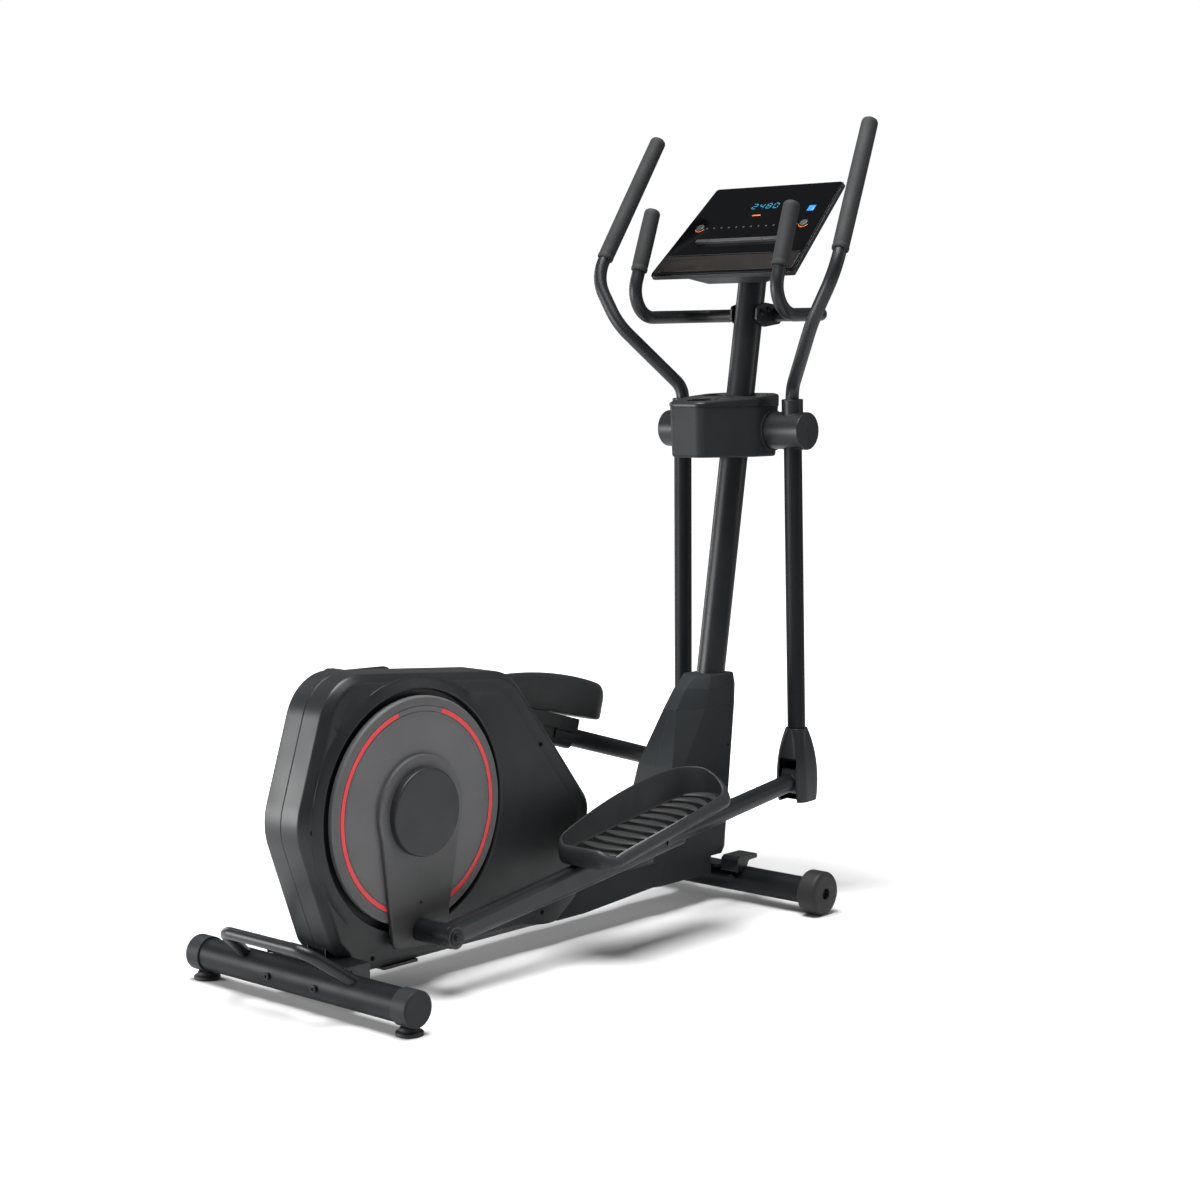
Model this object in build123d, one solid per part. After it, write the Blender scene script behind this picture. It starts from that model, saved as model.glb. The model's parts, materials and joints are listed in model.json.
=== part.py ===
from build123d import *
import os
from math import acos, atan2, cos, degrees, hypot, radians, sin

# Elliptical trainer with a rear crank drive, swinging arms and a console on a raked post.
# Lengths are millimetres. +X points forward to the console, +Y to the user's left, +Z up,
# and the floor is z = 0. Distances along X are first counted from the rear stabilizer's
# axis; MIDDLE_X then moves the whole machine so that its overall box is centred on x = 0.

MIDDLE_X = 644.6

# Stabilizers, wheels and feet
REAR_Z, REAR_R, REAR_HALF = 47.6, 30.0, 286.0
CAP_R, CAP_END, CAP_LENGTH = 32.9, 291.0, 36.0
FOOT_Y, FOOT_R, FOOT_HEIGHT, STUD_R = 268.0, 24.6, 13.0, 5.0
FRONT_X, FRONT_R, FRONT_HALF = 1145.0, 27.5, 268.0
WHEEL_R, WHEEL_IN, WHEEL_OUT, WHEEL_AXLE_R = 45.6, 272.0, 314.0, 6.0
RUNNING = 0.05
GAP = 0.3

# Main rail and raked post
RAIL_HALF, RAIL_Z0, RAIL_Z1, RAIL_X0, RAIL_X1 = 25.0, 52.0, 102.0, 30.5, 1117.0
PIVOT_X, PIVOT_Z, POST_RAKE = 1241.0, 992.0, 0.165
POST_R, POST_WALL, POST_Z0, POST_Z1, POST_BOLTS = 30.0, 2.5, 104.0, 1372.0, (130, 170)

# Crank and drive
CRANK_X, CRANK_Z, CRANK_R, CRANK_TURN = 216.0, 327.0, 216.4, -1.66
DISC_R, DISC_IN, DISC_OUT = 209.0, 61.0, 73.0
ARM_IN, ARM_OUT, ARM_HEAD_R, ARM_FOOT_HALF, ARM_TIP = 73.2, 82.0, 104.0, 66.0, 30.0
HUB_CAP_R, HUB_CAP_OUT = 81.0, 97.0
AXLE_R, PULLEY_R, PULLEY_Y = 12.0, 130.0, -22.0
FLY_X, FLY_Z, FLY_R, FLY_PULLEY_R, FLY_AXLE_R = 500.0, 235.0, 118.0, 16.0, 8.0
BELT_THICK, BELT_WIDTH, IDLER_R = 2.0, 14.0, 20.0

# Swing arms and pedals
ARM_Y, TUBE_R, TUBE_WALL, LOWER_LENGTH, PEDAL_ARM = 148.0, 19.05, 2.0, 744.0, 1068.0
PIVOT_AXLE_R, HUB_R, HUB_IN, HUB_OUT = 12.5, 39.4, 101.0, 187.7
HANDLE_R, GRIP_R = 14.0, 18.0
HANDLE_PATH = [(0, -148, 27), (0, -148, 88), (-84, -262, 228), (-86, -321, 328), (88, -288.4, 628)]
HANDLE_BENDS = [50, 150, 100]
PIN_R, SLEEVE_R, SLEEVE_OUT, ARM_END_R = 7.0, 21.0, 173.5, 22.0
BOOT_HALF, BOOT_TOP, SHIELD_R, SHIELD_SPREAD = 22.0, 50.0, 33.0, 58.0
PEDAL_REAR, PEDAL_FRONT, PEDAL_IN, PEDAL_OUT = -735.0, -308.0, -104.0, -257.0
PEDAL_BASE, PEDAL_TILT, PEDAL_WALL, PEDAL_FLOOR, PEDAL_SKIN = 39.0, 2.5, 6.0, 14.0, 4.0
SEAT_X0, SEAT_X1, SEAT_HALF = -640.0, -395.0, 20.0
ARCH_REAR, ARCH_TOP, ARCH_FRONT = 38.0, 79.0, 70.0
RIB_PITCH, RIB_COUNT = 34.0, 11

# Covers
SHELL_FLAT, SHELL_BEVEL, SHELL_WALL = 44.0, 16.0, 3.0
SHELL_POINTS = [(82, 47), (26, 104), (-55, 325), (30, 591), (484, 553), (712, 270), (668, 95), (600, 47)]
SHELL_BENDS = [12, 40, 120, 95, 105, 45, 55, 15]
RIM_R, OPENING_R, RIM_OUT = 245.0, 221.0, 66.0
SCREW_PLACES, SCREW_R = [(-14, 322), (556, 404), (560, 74), (112, 72)], 3.6
# Level sections: height, nose and its half width, shoulder and its half width, front and its half width.
SHROUD = [
    (62, 888, 50, 914, 60, 1108, 50),
    (110, 905, 50, 930, 60, 1141, 52),
    (300, 972, 46, 996, 56, 1168, 46),
    (411, 1018, 17, 1082, 46, 1190, 38),
]
SHROUD_CAP = [
    (411.2, 1018, 17, 1082, 46, 1190, 38),
    (452, 1050, 15, 1096, 43, 1194, 36),
    (478, 1082, 13, 1112, 36, 1195, 30),
]
SHROUD_BEND = 6.0
RAIL_COVER = [(596, 47.2), (690, 47.2), (905, 62.2), (940, 112), (700, 112), (640, 80)]
RAIL_COVER_BENDS = [4, 200, 4, 4, 60, 30]

# Accessory tray round the post
TRAY_Z0, TRAY_Z1, CUP_X, CUP_R = 937.0, 1043.0, 1126.0, 35.0
TRAY_POINTS = [(1062, 42), (1190, 97), (1262, 97), (1290, 64), (1290, -64), (1262, -97), (1190, -97), (1062, -42)]
TRAY_BENDS = [24, 44, 30, 20, 20, 30, 44, 24]
LID_TOP, LID_REAR, LID_BEND, TRAY_BEND = 1072.0, 1050.0, 5.0, 6.0

# Console, from its lower front edge, and the fixed handlebar
CONSOLE_X, CONSOLE_Z, CONSOLE_SLOPE = 1177.0, 1321.0, 43.2
CONSOLE_LENGTH, CONSOLE_LOW_HALF, CONSOLE_TOP_HALF, CONSOLE_THICK = 286.0, 191.5, 170.0, 16.0
BUTTON_R, BUTTON_Y, BUTTON_U, DISPLAY_U = 9.5, 138.0, 152.0, 205.0
BAR_R, BAR_X, BAR_Z, BAR_Y = 14.0, 1327.5, 1236.0, 189.0
CLAMP_BOLTS = [(1279.0, 1242.0), (1303.0, 1248.0)]
LIFT_PATH, LIFT_BENDS, LIFT_R = [(2, -150, 62), (-92, -108, 133), (-92, 108, 133), (2, 150, 62)], [36, 36], 11.0
STRAP_Y, STRAP_WIDE, STRAP_SCREW_Y, STRAP_SCREW_Z = 68.0, 44.0, 92.0, 53.6
STRAP = [(1108, 66), (1110, 98), (1176, 98), (1178, 88), (1148, 87), (1138, 66)]
STRAP_BENDS = [3, 12, 4, 3, 8, 3]
FIXED_ELBOW, FIXED_TOP = (1104, 189, 1229), (1179.5, 185, 1454)


def drum(x, z, y0, y1, r):
    """A cylinder along Y."""
    return Pos(x, (y0 + y1) / 2, z) * Rot(90, 0, 0) * Cylinder(r, abs(y1 - y0))


def ring(x, z, y0, y1, r_out, r_in):
    return drum(x, z, y0, y1, r_out) - drum(x, z, y0, y1, r_in)


def block(x0, x1, y0, y1, z0, z1):
    return Pos((x0 + x1) / 2, (y0 + y1) / 2, (z0 + z1) / 2) * Box(abs(x1 - x0), abs(y1 - y0), abs(z1 - z0))


def rod(start, end, r):
    axis = Vector(*end) - Vector(*start)
    return extrude(Plane(origin=start, z_dir=axis) * Circle(r), amount=axis.length)


def pipe(start, end, r, wall):
    return rod(start, end, r) - rod(start, end, r - wall)


def bent_rod(points, bends, r):
    path = FilletPolyline(*points, radius=bends)
    return sweep(Plane(origin=path @ 0, z_dir=path % 0) * Circle(r), path=path)


def bent_pipe(points, bends, r, wall):
    return bent_rod(points, bends, r) - bent_rod(points, bends, r - wall)


def outline(points, bends):
    """A face in the XZ plane, with each corner rounded by its own radius."""
    return make_face(FilletPolyline(*points, radius=bends, close=True))


def across(face, y, amount, taper=0):
    """Extrudes an XZ face from y towards the user's right."""
    return extrude(Plane.XZ.offset(-y) * face, amount=amount, taper=taper)


def both(shape):
    """A piece and its mirror image on the other side."""
    return [shape, mirror(shape, about=Plane.XZ)]


def post_x(z):
    return PIVOT_X + POST_RAKE * (z - PIVOT_Z)


def post_cut(z0, z1, r):
    return rod((post_x(z0), 0, z0), (post_x(z1), 0, z1), r)


def save(name, *pieces):
    solids = [s for piece in pieces for s in (Pos(-MIDDLE_X, 0, 0) * piece).solids()]
    for number, solid in enumerate(solids):
        solid.label = name if len(solids) == 1 else f"{name}_{number + 1}"
    export_step(solids[0] if len(solids) == 1 else Compound(label=name, children=solids), f"parts/{name}.step")


# The linkage at rest: the right crank is near the bottom and the left crank near the top.


def crank_pin(side):
    turn = radians(CRANK_TURN)
    sign = 1 if side == "right" else -1
    return CRANK_X + sign * CRANK_R * sin(turn), CRANK_Z - sign * CRANK_R * cos(turn)


def linkage(side):
    """The lower joint, the swing arm's lean and the pedal arm's pitch in degrees."""
    px, pz = crank_pin(side)
    dx, dz = px - PIVOT_X, pz - PIVOT_Z
    reach = hypot(dx, dz)
    spread = acos((LOWER_LENGTH**2 + reach**2 - PEDAL_ARM**2) / (2 * LOWER_LENGTH * reach))
    heading = atan2(dz, dx) + spread
    heading = heading if sin(heading) < 0 and cos(heading) > -0.6 else atan2(dz, dx) - spread
    jx, jz = PIVOT_X + LOWER_LENGTH * cos(heading), PIVOT_Z + LOWER_LENGTH * sin(heading)
    lean = degrees(atan2(jx - PIVOT_X, PIVOT_Z - jz))
    return jx, jz, lean, degrees(atan2(jz - pz, jx - px))


def swing(shape, side):
    """Sets a right-hand swing-arm piece, drawn about the pivot with the arm vertical."""
    shape = shape if side == "right" else mirror(shape, about=Plane.XZ)
    return Pos(PIVOT_X, 0, PIVOT_Z) * Rot(0, -linkage(side)[2], 0) * shape


def pedal(shape, side):
    """Sets a right-hand pedal piece, drawn about the lower joint with the arm level."""
    jx, jz, _, pitch = linkage(side)
    shape = shape if side == "right" else mirror(shape, about=Plane.XZ)
    return Pos(jx, 0, jz) * Rot(0, -pitch, 0) * shape


# Frame


def main_frame():
    rail = block(RAIL_X0, RAIL_X1, -RAIL_HALF, RAIL_HALF, RAIL_Z0, RAIL_Z1)
    rail -= block(RAIL_X0, RAIL_X1, 3 - RAIL_HALF, RAIL_HALF - 3, RAIL_Z0 + 3, RAIL_Z1 - 3)
    rail += block(6, 62, -105, 105, REAR_Z + REAR_R + 0.1, REAR_Z + REAR_R + 7)
    rail += block(18, 60, -RAIL_HALF, RAIL_HALF, 30, RAIL_Z0 + 3)
    rail += block(50, 62, -105, 105, 52, REAR_Z + REAR_R + 7)
    for y in (-105, 99):
        rail += block(20, 56, y, y + 6, 52, REAR_Z + REAR_R + 1)
    rail += block(150, 234, -48, 48, 41, 46.8) + block(160, 224, -20, 20, 46, 54)
    rail += block(1092, 1140, -STRAP_Y - 1, STRAP_Y + 1, 74.2, 80.6)
    for y in (-STRAP_Y, STRAP_Y + STRAP_WIDE):
        rail += across(outline(STRAP, STRAP_BENDS), y, STRAP_WIDE)
    rail -= drum(0, REAR_Z, -200, 200, REAR_R + 0.1)
    rail -= drum(FRONT_X, WHEEL_R, -200, 200, FRONT_R + 0.1)
    column = block(CRANK_X - 20, CRANK_X + 20, 8, 38, RAIL_Z1 - 1, CRANK_Z)
    column += block(CRANK_X - 10, CRANK_X + 10, 31, 39, CRANK_Z, 384)
    column += block(CRANK_X - 10, 575, 31, 39, 372, 384) + block(555, 575, 31, 39, 336, 384)
    column += drum(563, 344, -2, 31, 4) + drum(CRANK_X, CRANK_Z, 2, 44, 32)
    column -= drum(CRANK_X, CRANK_Z, 2, 44, 26.02)
    fork = Part()
    for y in (-42, 32):
        fork += block(FLY_X - 22, FLY_X + 22, y, y + 5, RAIL_Z0 + 20, FLY_Z)
        fork += drum(FLY_X, FLY_Z, y, y + 5, 22)
    fork += block(FLY_X - 22, FLY_X + 22, -42, 37, RAIL_Z1 - 4, RAIL_Z1)
    fork -= drum(FLY_X, FLY_Z, -60, 60, FLY_AXLE_R + 0.02)
    socket = post_cut(POST_Z0 - 6, 190, POST_R - POST_WALL - 0.1)
    socket -= post_cut(POST_Z0 - 20, 210, POST_R - POST_WALL - 4)
    for z in POST_BOLTS:
        socket -= rod((post_x(z), -60, z), (post_x(z), 60, z), 4.02)
    return rail + column + fork + socket


def rear_stabilizer():
    tube = ring(0, REAR_Z, -REAR_HALF, REAR_HALF, REAR_R, REAR_R - 2.5)
    for y in (-FOOT_Y, FOOT_Y):
        tube -= Pos(0, y, REAR_Z - REAR_R) * Cylinder(STUD_R + RUNNING, 30)
    for y in (-62, 62):
        tube -= rod((-40, y, REAR_Z), (40, y, REAR_Z), 4.05)
    return tube


def rear_caps():
    cap = drum(0, REAR_Z, -CAP_END, CAP_LENGTH - CAP_END, CAP_R)
    cap = fillet(cap.edges().filter_by(GeomType.CIRCLE).group_by(Axis.Y)[0], 4)
    cap -= drum(0, REAR_Z, -REAR_HALF - 0.1, 0, REAR_R + 0.02)
    cap -= Pos(0, -FOOT_Y, REAR_Z - REAR_R) * Cylinder(STUD_R + RUNNING, 30)
    return both(cap)


def lift_handle():
    """A bar that rises behind the rear tube, for tipping the machine on its wheels."""
    bar = bent_pipe(LIFT_PATH, LIFT_BENDS, LIFT_R, 2)
    return bar - drum(0, REAR_Z, -200, 200, REAR_R + 0.1)


def front_stabilizer():
    tube = ring(FRONT_X, WHEEL_R, -FRONT_HALF, FRONT_HALF, FRONT_R, FRONT_R - 2.5)
    for y in (-STRAP_SCREW_Y, STRAP_SCREW_Y):
        tube -= rod((FRONT_X - 40, y, STRAP_SCREW_Z), (FRONT_X, y, STRAP_SCREW_Z), 3.55)
    plug = drum(FRONT_X, WHEEL_R, -FRONT_HALF - 3, 20 - FRONT_HALF, FRONT_R - 2.5)
    plug += drum(FRONT_X, WHEEL_R, -WHEEL_OUT + 14, -FRONT_HALF, WHEEL_AXLE_R)
    plug += drum(FRONT_X, WHEEL_R, -WHEEL_OUT + 8, -WHEEL_OUT + 14, 10)
    return [tube] + both(plug)


def transport_wheel():
    wheel = drum(FRONT_X, WHEEL_R, -WHEEL_OUT, -WHEEL_IN, WHEEL_R)
    ends = wheel.edges().filter_by(GeomType.CIRCLE).group_by(Axis.Y)
    wheel = fillet(ends[0], 9)
    wheel = fillet(wheel.edges().filter_by(GeomType.CIRCLE).group_by(Axis.Y)[-1], 4)
    wheel -= drum(FRONT_X, WHEEL_R, -WHEEL_OUT, -WHEEL_OUT + 14.5, 12)
    return wheel - drum(FRONT_X, WHEEL_R, -WHEEL_OUT, -WHEEL_IN, WHEEL_AXLE_R + RUNNING)


def levelling_foot():
    pad = Pos(0, -FOOT_Y, FOOT_HEIGHT / 2) * Cylinder(FOOT_R, FOOT_HEIGHT)
    pad = chamfer(pad.edges().group_by(Axis.Z)[-1], 5)
    pad = fillet(pad.edges().group_by(Axis.Z)[0], 1.5)
    return pad + Pos(0, -FOOT_Y, 22) * Cylinder(STUD_R, 30)


def upright_post():
    post = post_cut(POST_Z0 - 20, POST_Z1 + 20, POST_R) - post_cut(POST_Z0 - 30, POST_Z1 + 30, POST_R - POST_WALL)
    post = post & block(1000, 1400, -60, 60, POST_Z0, POST_Z1)
    post -= drum(PIVOT_X, PIVOT_Z, -60, 60, PIVOT_AXLE_R + 0.02)
    for z in POST_BOLTS:
        post -= rod((post_x(z), -60, z), (post_x(z), 60, z), 5.02)
    return post


def bolt(head, direction, r, length):
    """A button-head bolt: the head's underside is at head and the shank runs along direction."""
    plane = Plane(origin=head, z_dir=direction)
    shank = extrude(plane * Circle(r), amount=length)
    cap = extrude(plane * Circle(1.75 * r), amount=-1.1 * r)
    cap = chamfer(cap.faces().sort_by(Axis(head, direction))[0].edges(), 0.35 * r)
    return cap + shank - extrude(plane.offset(-1.1 * r) * RegularPolygon(0.9 * r, 6), amount=0.6 * r)


def frame_bolts():
    bolts = [bolt((-REAR_R - 0.5, y, REAR_Z), (1, 0, 0), 4, 48) for y in (-62, 62)]
    for z in POST_BOLTS:
        bolts += both(bolt((post_x(z), -POST_R - 0.3, z), (0, 1, 0), 4, 8))
    for x, z in CLAMP_BOLTS:
        bolts += both(bolt((x, -36.1, z), (0, 1, 0), 3.5, 5.2))
    bolts += both(bolt((FRONT_X - FRONT_R - 0.4, -STRAP_SCREW_Y, STRAP_SCREW_Z), (1, 0, 0), 3.5, 8))
    return bolts


# Drive


def crank_axle():
    return drum(CRANK_X, CRANK_Z, -80, 80, AXLE_R)


def crank_bearings():
    return [ring(CRANK_X, CRANK_Z, y, y + 12, 26, AXLE_R + RUNNING) for y in (4, 30)]


def drive_pulley():
    wheel = drum(CRANK_X, CRANK_Z, PULLEY_Y - 8, PULLEY_Y + 8, PULLEY_R)
    wheel -= ring(CRANK_X, CRANK_Z, PULLEY_Y - 8, PULLEY_Y - 2, PULLEY_R - 10, 30)
    wheel -= ring(CRANK_X, CRANK_Z, PULLEY_Y + 2, PULLEY_Y + 8, PULLEY_R - 10, 30)
    for turn in range(0, 360, 60):
        x, z = CRANK_X + 75 * cos(radians(turn)), CRANK_Z + 75 * sin(radians(turn))
        wheel -= drum(x, z, PULLEY_Y - 9, PULLEY_Y + 9, 22)
    return wheel - drum(CRANK_X, CRANK_Z, -60, 60, AXLE_R + 0.02)


def drive_belt():
    """Two external tangents join the arcs round the large and the small pulley."""
    def loop(extra):
        far = hypot(FLY_X - CRANK_X, FLY_Z - CRANK_Z)
        heading = atan2(FLY_Z - CRANK_Z, FLY_X - CRANK_X)
        lift = acos((PULLEY_R - FLY_PULLEY_R) / far)
        corners = []
        for turn, centre, r in (
            (heading + lift, (CRANK_X, CRANK_Z), PULLEY_R + extra),
            (heading + lift, (FLY_X, FLY_Z), FLY_PULLEY_R + extra),
            (heading - lift, (FLY_X, FLY_Z), FLY_PULLEY_R + extra),
            (heading - lift, (CRANK_X, CRANK_Z), PULLEY_R + extra),
        ):
            corners.append((centre[0] + r * cos(turn), centre[1] + r * sin(turn)))
        inside = make_face(Polyline(*corners, close=True))
        for x, z, r in ((CRANK_X, CRANK_Z, PULLEY_R + extra), (FLY_X, FLY_Z, FLY_PULLEY_R + extra)):
            inside += Pos(x, z) * Circle(r)
        return inside
    start = PULLEY_Y + BELT_WIDTH / 2
    return across(loop(GAP + BELT_THICK), start, BELT_WIDTH) - across(loop(GAP), start, BELT_WIDTH)


def idler_centre():
    far = hypot(FLY_X - CRANK_X, FLY_Z - CRANK_Z)
    turn = atan2(FLY_Z - CRANK_Z, FLY_X - CRANK_X) - acos((PULLEY_R - FLY_PULLEY_R) / far)
    reach = PULLEY_R + GAP + BELT_THICK + GAP + IDLER_R
    small = FLY_PULLEY_R + GAP + BELT_THICK + GAP + IDLER_R
    return (
        0.4 * (CRANK_X + reach * cos(turn)) + 0.6 * (FLY_X + small * cos(turn)),
        0.4 * (CRANK_Z + reach * sin(turn)) + 0.6 * (FLY_Z + small * sin(turn)),
    )


def idler_pulley():
    x, z = idler_centre()
    return ring(x, z, PULLEY_Y - 9, PULLEY_Y + 9, IDLER_R, 6 + RUNNING)


def idler_bracket():
    x, z = idler_centre()
    plate = block(x - 16, x + 16, -39, -34, RAIL_Z1 + 0.1, z) + drum(x, z, -39, -34, 16)
    return plate + block(x - 16, x + 16, -39, -5, RAIL_Z1 + 0.1, RAIL_Z1 + 5) + drum(x, z, -34, PULLEY_Y + 11, 6)


def flywheel():
    wheel = drum(FLY_X, FLY_Z, 4, 24, FLY_R)
    wheel -= ring(FLY_X, FLY_Z, 4, 9, FLY_R - 26, 24) + ring(FLY_X, FLY_Z, 19, 24, FLY_R - 26, 24)
    return wheel - drum(FLY_X, FLY_Z, 0, 30, FLY_AXLE_R + RUNNING)


def flywheel_pulley():
    small = drum(FLY_X, FLY_Z, PULLEY_Y - 8, PULLEY_Y + 8, FLY_PULLEY_R) + drum(FLY_X, FLY_Z, PULLEY_Y, 3.9, 13)
    return small - drum(FLY_X, FLY_Z, -40, 10, FLY_AXLE_R + RUNNING)


def flywheel_axle():
    axle = drum(FLY_X, FLY_Z, -50, 48, FLY_AXLE_R)
    for y in (-49, 37.2):
        axle += Plane.XZ.offset(-y - 6) * Pos(FLY_X, FLY_Z) * extrude(RegularPolygon(12, 6), amount=6)
    return axle


def magnet_bracket():
    """A steel shoe over the flywheel's rim that swings on a pin at its front end."""
    shoe = ring(FLY_X, FLY_Z, 0, 28, FLY_R + 12, FLY_R + 5)
    wedge = Polyline((FLY_X, FLY_Z), (FLY_X + 200, FLY_Z + 330), (FLY_X - 190, FLY_Z + 330), close=True)
    shoe = shoe & across(make_face(wedge), 30, 32)
    shoe += drum(563, 344, 0, 28, 9)
    return shoe - drum(563, 344, -5, 32, 4 + RUNNING) - drum(FLY_X, FLY_Z, -1, 29, FLY_R + 4)


def resistance_motor():
    return fillet(block(392, 456, 14, 42, 384.2, 424).edges().filter_by(Axis.Z), 4) + drum(424, 404, 8, 14, 12)


def drive_discs():
    disc = drum(CRANK_X, CRANK_Z, -DISC_OUT, -DISC_IN, DISC_R)
    disc = chamfer(disc.edges().filter_by(GeomType.CIRCLE).group_by(Axis.Y)[0], 3)
    disc -= ring(CRANK_X, CRANK_Z, -DISC_OUT, -DISC_OUT + 1.2, 192, 190.4)
    disc -= ring(CRANK_X, CRANK_Z, -DISC_OUT, -DISC_OUT + 1.2, 181.6, 180)
    return both(disc - drum(CRANK_X, CRANK_Z, -90, 90, AXLE_R + 0.02))


def crank_arm_outline():
    """A round head, straight flanks and a squarer foot, in the crank's own direction."""
    foot = CRANK_R + ARM_TIP
    lean = acos((ARM_HEAD_R - 8) / foot)
    hip_x, hip_z = ARM_HEAD_R * sin(lean), -ARM_HEAD_R * cos(lean)
    corners = [(-hip_x, hip_z), (-ARM_FOOT_HALF, -foot), (ARM_FOOT_HALF, -foot), (hip_x, hip_z)]
    lower = make_face(Polyline(*corners, close=True))
    lower = fillet(lower.vertices().group_by(Axis.Y)[0], 22)
    return lower + Circle(ARM_HEAD_R)


def crank_arms():
    def arm(turn):
        body = across(crank_arm_outline(), -ARM_IN, ARM_OUT - ARM_IN)
        body = fillet(body.edges().group_by(Axis.Y)[0], 3.5)
        body -= drum(0, -CRANK_R + 50, -90, -60, 3)
        body -= drum(0, 0, -90, -60, AXLE_R + 0.02)
        return Pos(CRANK_X, 0, CRANK_Z) * Rot(0, -turn, 0) * body
    return [arm(CRANK_TURN), mirror(arm(CRANK_TURN + 180), about=Plane.XZ)]


def crank_hub_caps():
    cap = drum(CRANK_X, CRANK_Z, -HUB_CAP_OUT, -ARM_OUT - 0.1, HUB_CAP_R)
    return both(fillet(cap.edges().filter_by(GeomType.CIRCLE).group_by(Axis.Y)[0], 4))


# Covers


def housing_shell():
    """The right half: a flat back, bevelled flanks and a raised rim round the disc."""
    full = outline(SHELL_POINTS, SHELL_BENDS)
    inner = offset(full, amount=-SHELL_WALL)
    shell = across(full, 0, SHELL_FLAT) + across(full, -SHELL_FLAT, SHELL_BEVEL, taper=45)
    rim = drum(CRANK_X, CRANK_Z, -RIM_OUT, -40, RIM_R)
    shell += chamfer(rim.edges().filter_by(GeomType.CIRCLE).group_by(Axis.Y)[0], 5)
    shell -= across(inner, 0, SHELL_FLAT - 1) + across(inner, 1 - SHELL_FLAT, SHELL_BEVEL - 2, taper=45)
    well = drum(CRANK_X, CRANK_Z, -RIM_OUT - 1, -10, OPENING_R + 3) & across(inner, 0, 90)
    shell -= well
    wall = ring(CRANK_X, CRANK_Z, -RIM_OUT, -SHELL_FLAT, OPENING_R + 4, OPENING_R)
    shell += wall & (across(full, 0, 90))
    shell -= drum(CRANK_X, CRANK_Z, -RIM_OUT - 5, -10, OPENING_R)
    shell -= block(-80, 1200, -RAIL_HALF - 0.4, 0, RAIL_Z0 - 0.4, RAIL_Z1 + 0.4)
    shell -= block(-20, 62.5, -110, 0, 20, 85) + block(159, 225, -20.4, 0, 40, 60)
    for x, z in SCREW_PLACES:
        shell -= drum(x, z, -90, -40, 4)
    return shell


def shroud_half(inset, sections):
    """Ruled through level sections: nose, shoulders, flank and front, for the right half."""
    faces = []
    for z, nose, nose_half, shoulder, half, front, front_half in sections:
        points = [
            (nose + inset, 0), (nose + inset, inset - nose_half), (shoulder + inset, inset - half),
            (front - 14, inset - half), (front - inset, inset - front_half), (front - inset, 0),
        ]
        faces.append(Plane.XY.offset(z) * make_face(Polyline(*points, close=True)))
    return loft(faces, ruled=True)


def base_shroud():
    shell = shroud_half(0, SHROUD)
    cover = outline(RAIL_COVER, RAIL_COVER_BENDS)
    shell += across(cover, 0, 54)
    inner = [(max(z, 65), *rest) for z, *rest in SHROUD]
    shell -= shroud_half(3, inner)
    shell -= across(offset(cover, amount=-3), 0, 51)
    shell -= block(500, 1200, -RAIL_HALF - 0.4, 0, 20, RAIL_Z1 + 0.4)
    shell -= drum(FRONT_X, WHEEL_R, -200, 0, FRONT_R + 0.6) + block(1085, 1200, -120, 0, 60, 99)
    shell -= across(offset(outline(SHELL_POINTS, SHELL_BENDS), amount=0.3), 0, 90)
    return shell - post_cut(90, 480, POST_R + 0.4) - drum(1150, 327, -80, -40, 3.5)


def shroud_cap():
    half = shroud_half(0, SHROUD_CAP)
    half = fillet([edge for edge in half.edges().group_by(Axis.Z)[-1] if edge.center().Y < -1], SHROUD_BEND)
    inner = [(z - 3, *rest) for z, *rest in SHROUD_CAP]
    half -= shroud_half(3, inner)
    whole = half + mirror(half, about=Plane.XZ)
    return whole - post_cut(390, 500, POST_R + 0.3)


def housing_screws():
    screws = []
    for x, z in SCREW_PLACES:
        screws += both(drum(x, z, -56, -46, SCREW_R))
    return screws


# Accessory tray round the post


def tray_outline(grow):
    return offset(outline(TRAY_POINTS, TRAY_BENDS), amount=grow)


def tray_body():
    body = loft([Plane.XY.offset(TRAY_Z0) * tray_outline(-5), Plane.XY.offset(TRAY_Z1) * tray_outline(0)])
    body = fillet(body.edges().group_by(Axis.Z)[0], TRAY_BEND)
    body -= loft([Plane.XY.offset(TRAY_Z0 + 3) * tray_outline(-8), Plane.XY.offset(TRAY_Z1 + 1) * tray_outline(-3)])
    for sign in (-1, 1):
        body += ring(PIVOT_X, PIVOT_Z, sign * 92, sign * 99.5, 43, 30)
    body -= drum(PIVOT_X, PIVOT_Z, -110, 110, 15)
    return body - post_cut(900, 1100, POST_R + 0.3)


def tray_lid():
    lid = extrude(Plane.XY.offset(TRAY_Z1 + 0.2) * tray_outline(1.5), amount=32)
    corners = [(1040, 1040), (1310, 1040), (1310, LID_TOP), (1040, LID_REAR)]
    lid = lid & across(make_face(Polyline(*corners, close=True)), 120, 240)
    lid = fillet(lid.faces().sort_by(Axis.Z)[-1].edges(), LID_BEND)
    lid -= extrude(Plane.XY.offset(TRAY_Z1 - 1) * tray_outline(-8), amount=5)
    dish = Pos(1235, 0, 1070) * Box(46, 150, 18)
    lid -= fillet(dish.edges().filter_by(Axis.Z), 10)
    cup = Pos(CUP_X, 0, 1018) * Cylinder(CUP_R + 2.5, 66)
    return lid + cup - Pos(CUP_X, 0, 1040) * Cylinder(CUP_R, 104) - post_cut(900, 1100, POST_R + 0.3)


def pivot_axle():
    axle = drum(PIVOT_X, PIVOT_Z, -180, 180, PIVOT_AXLE_R)
    for y in (-183, 180):
        axle += drum(PIVOT_X, PIVOT_Z, y, y + 3, 20)
    return axle


# Console and fixed handlebar


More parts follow.
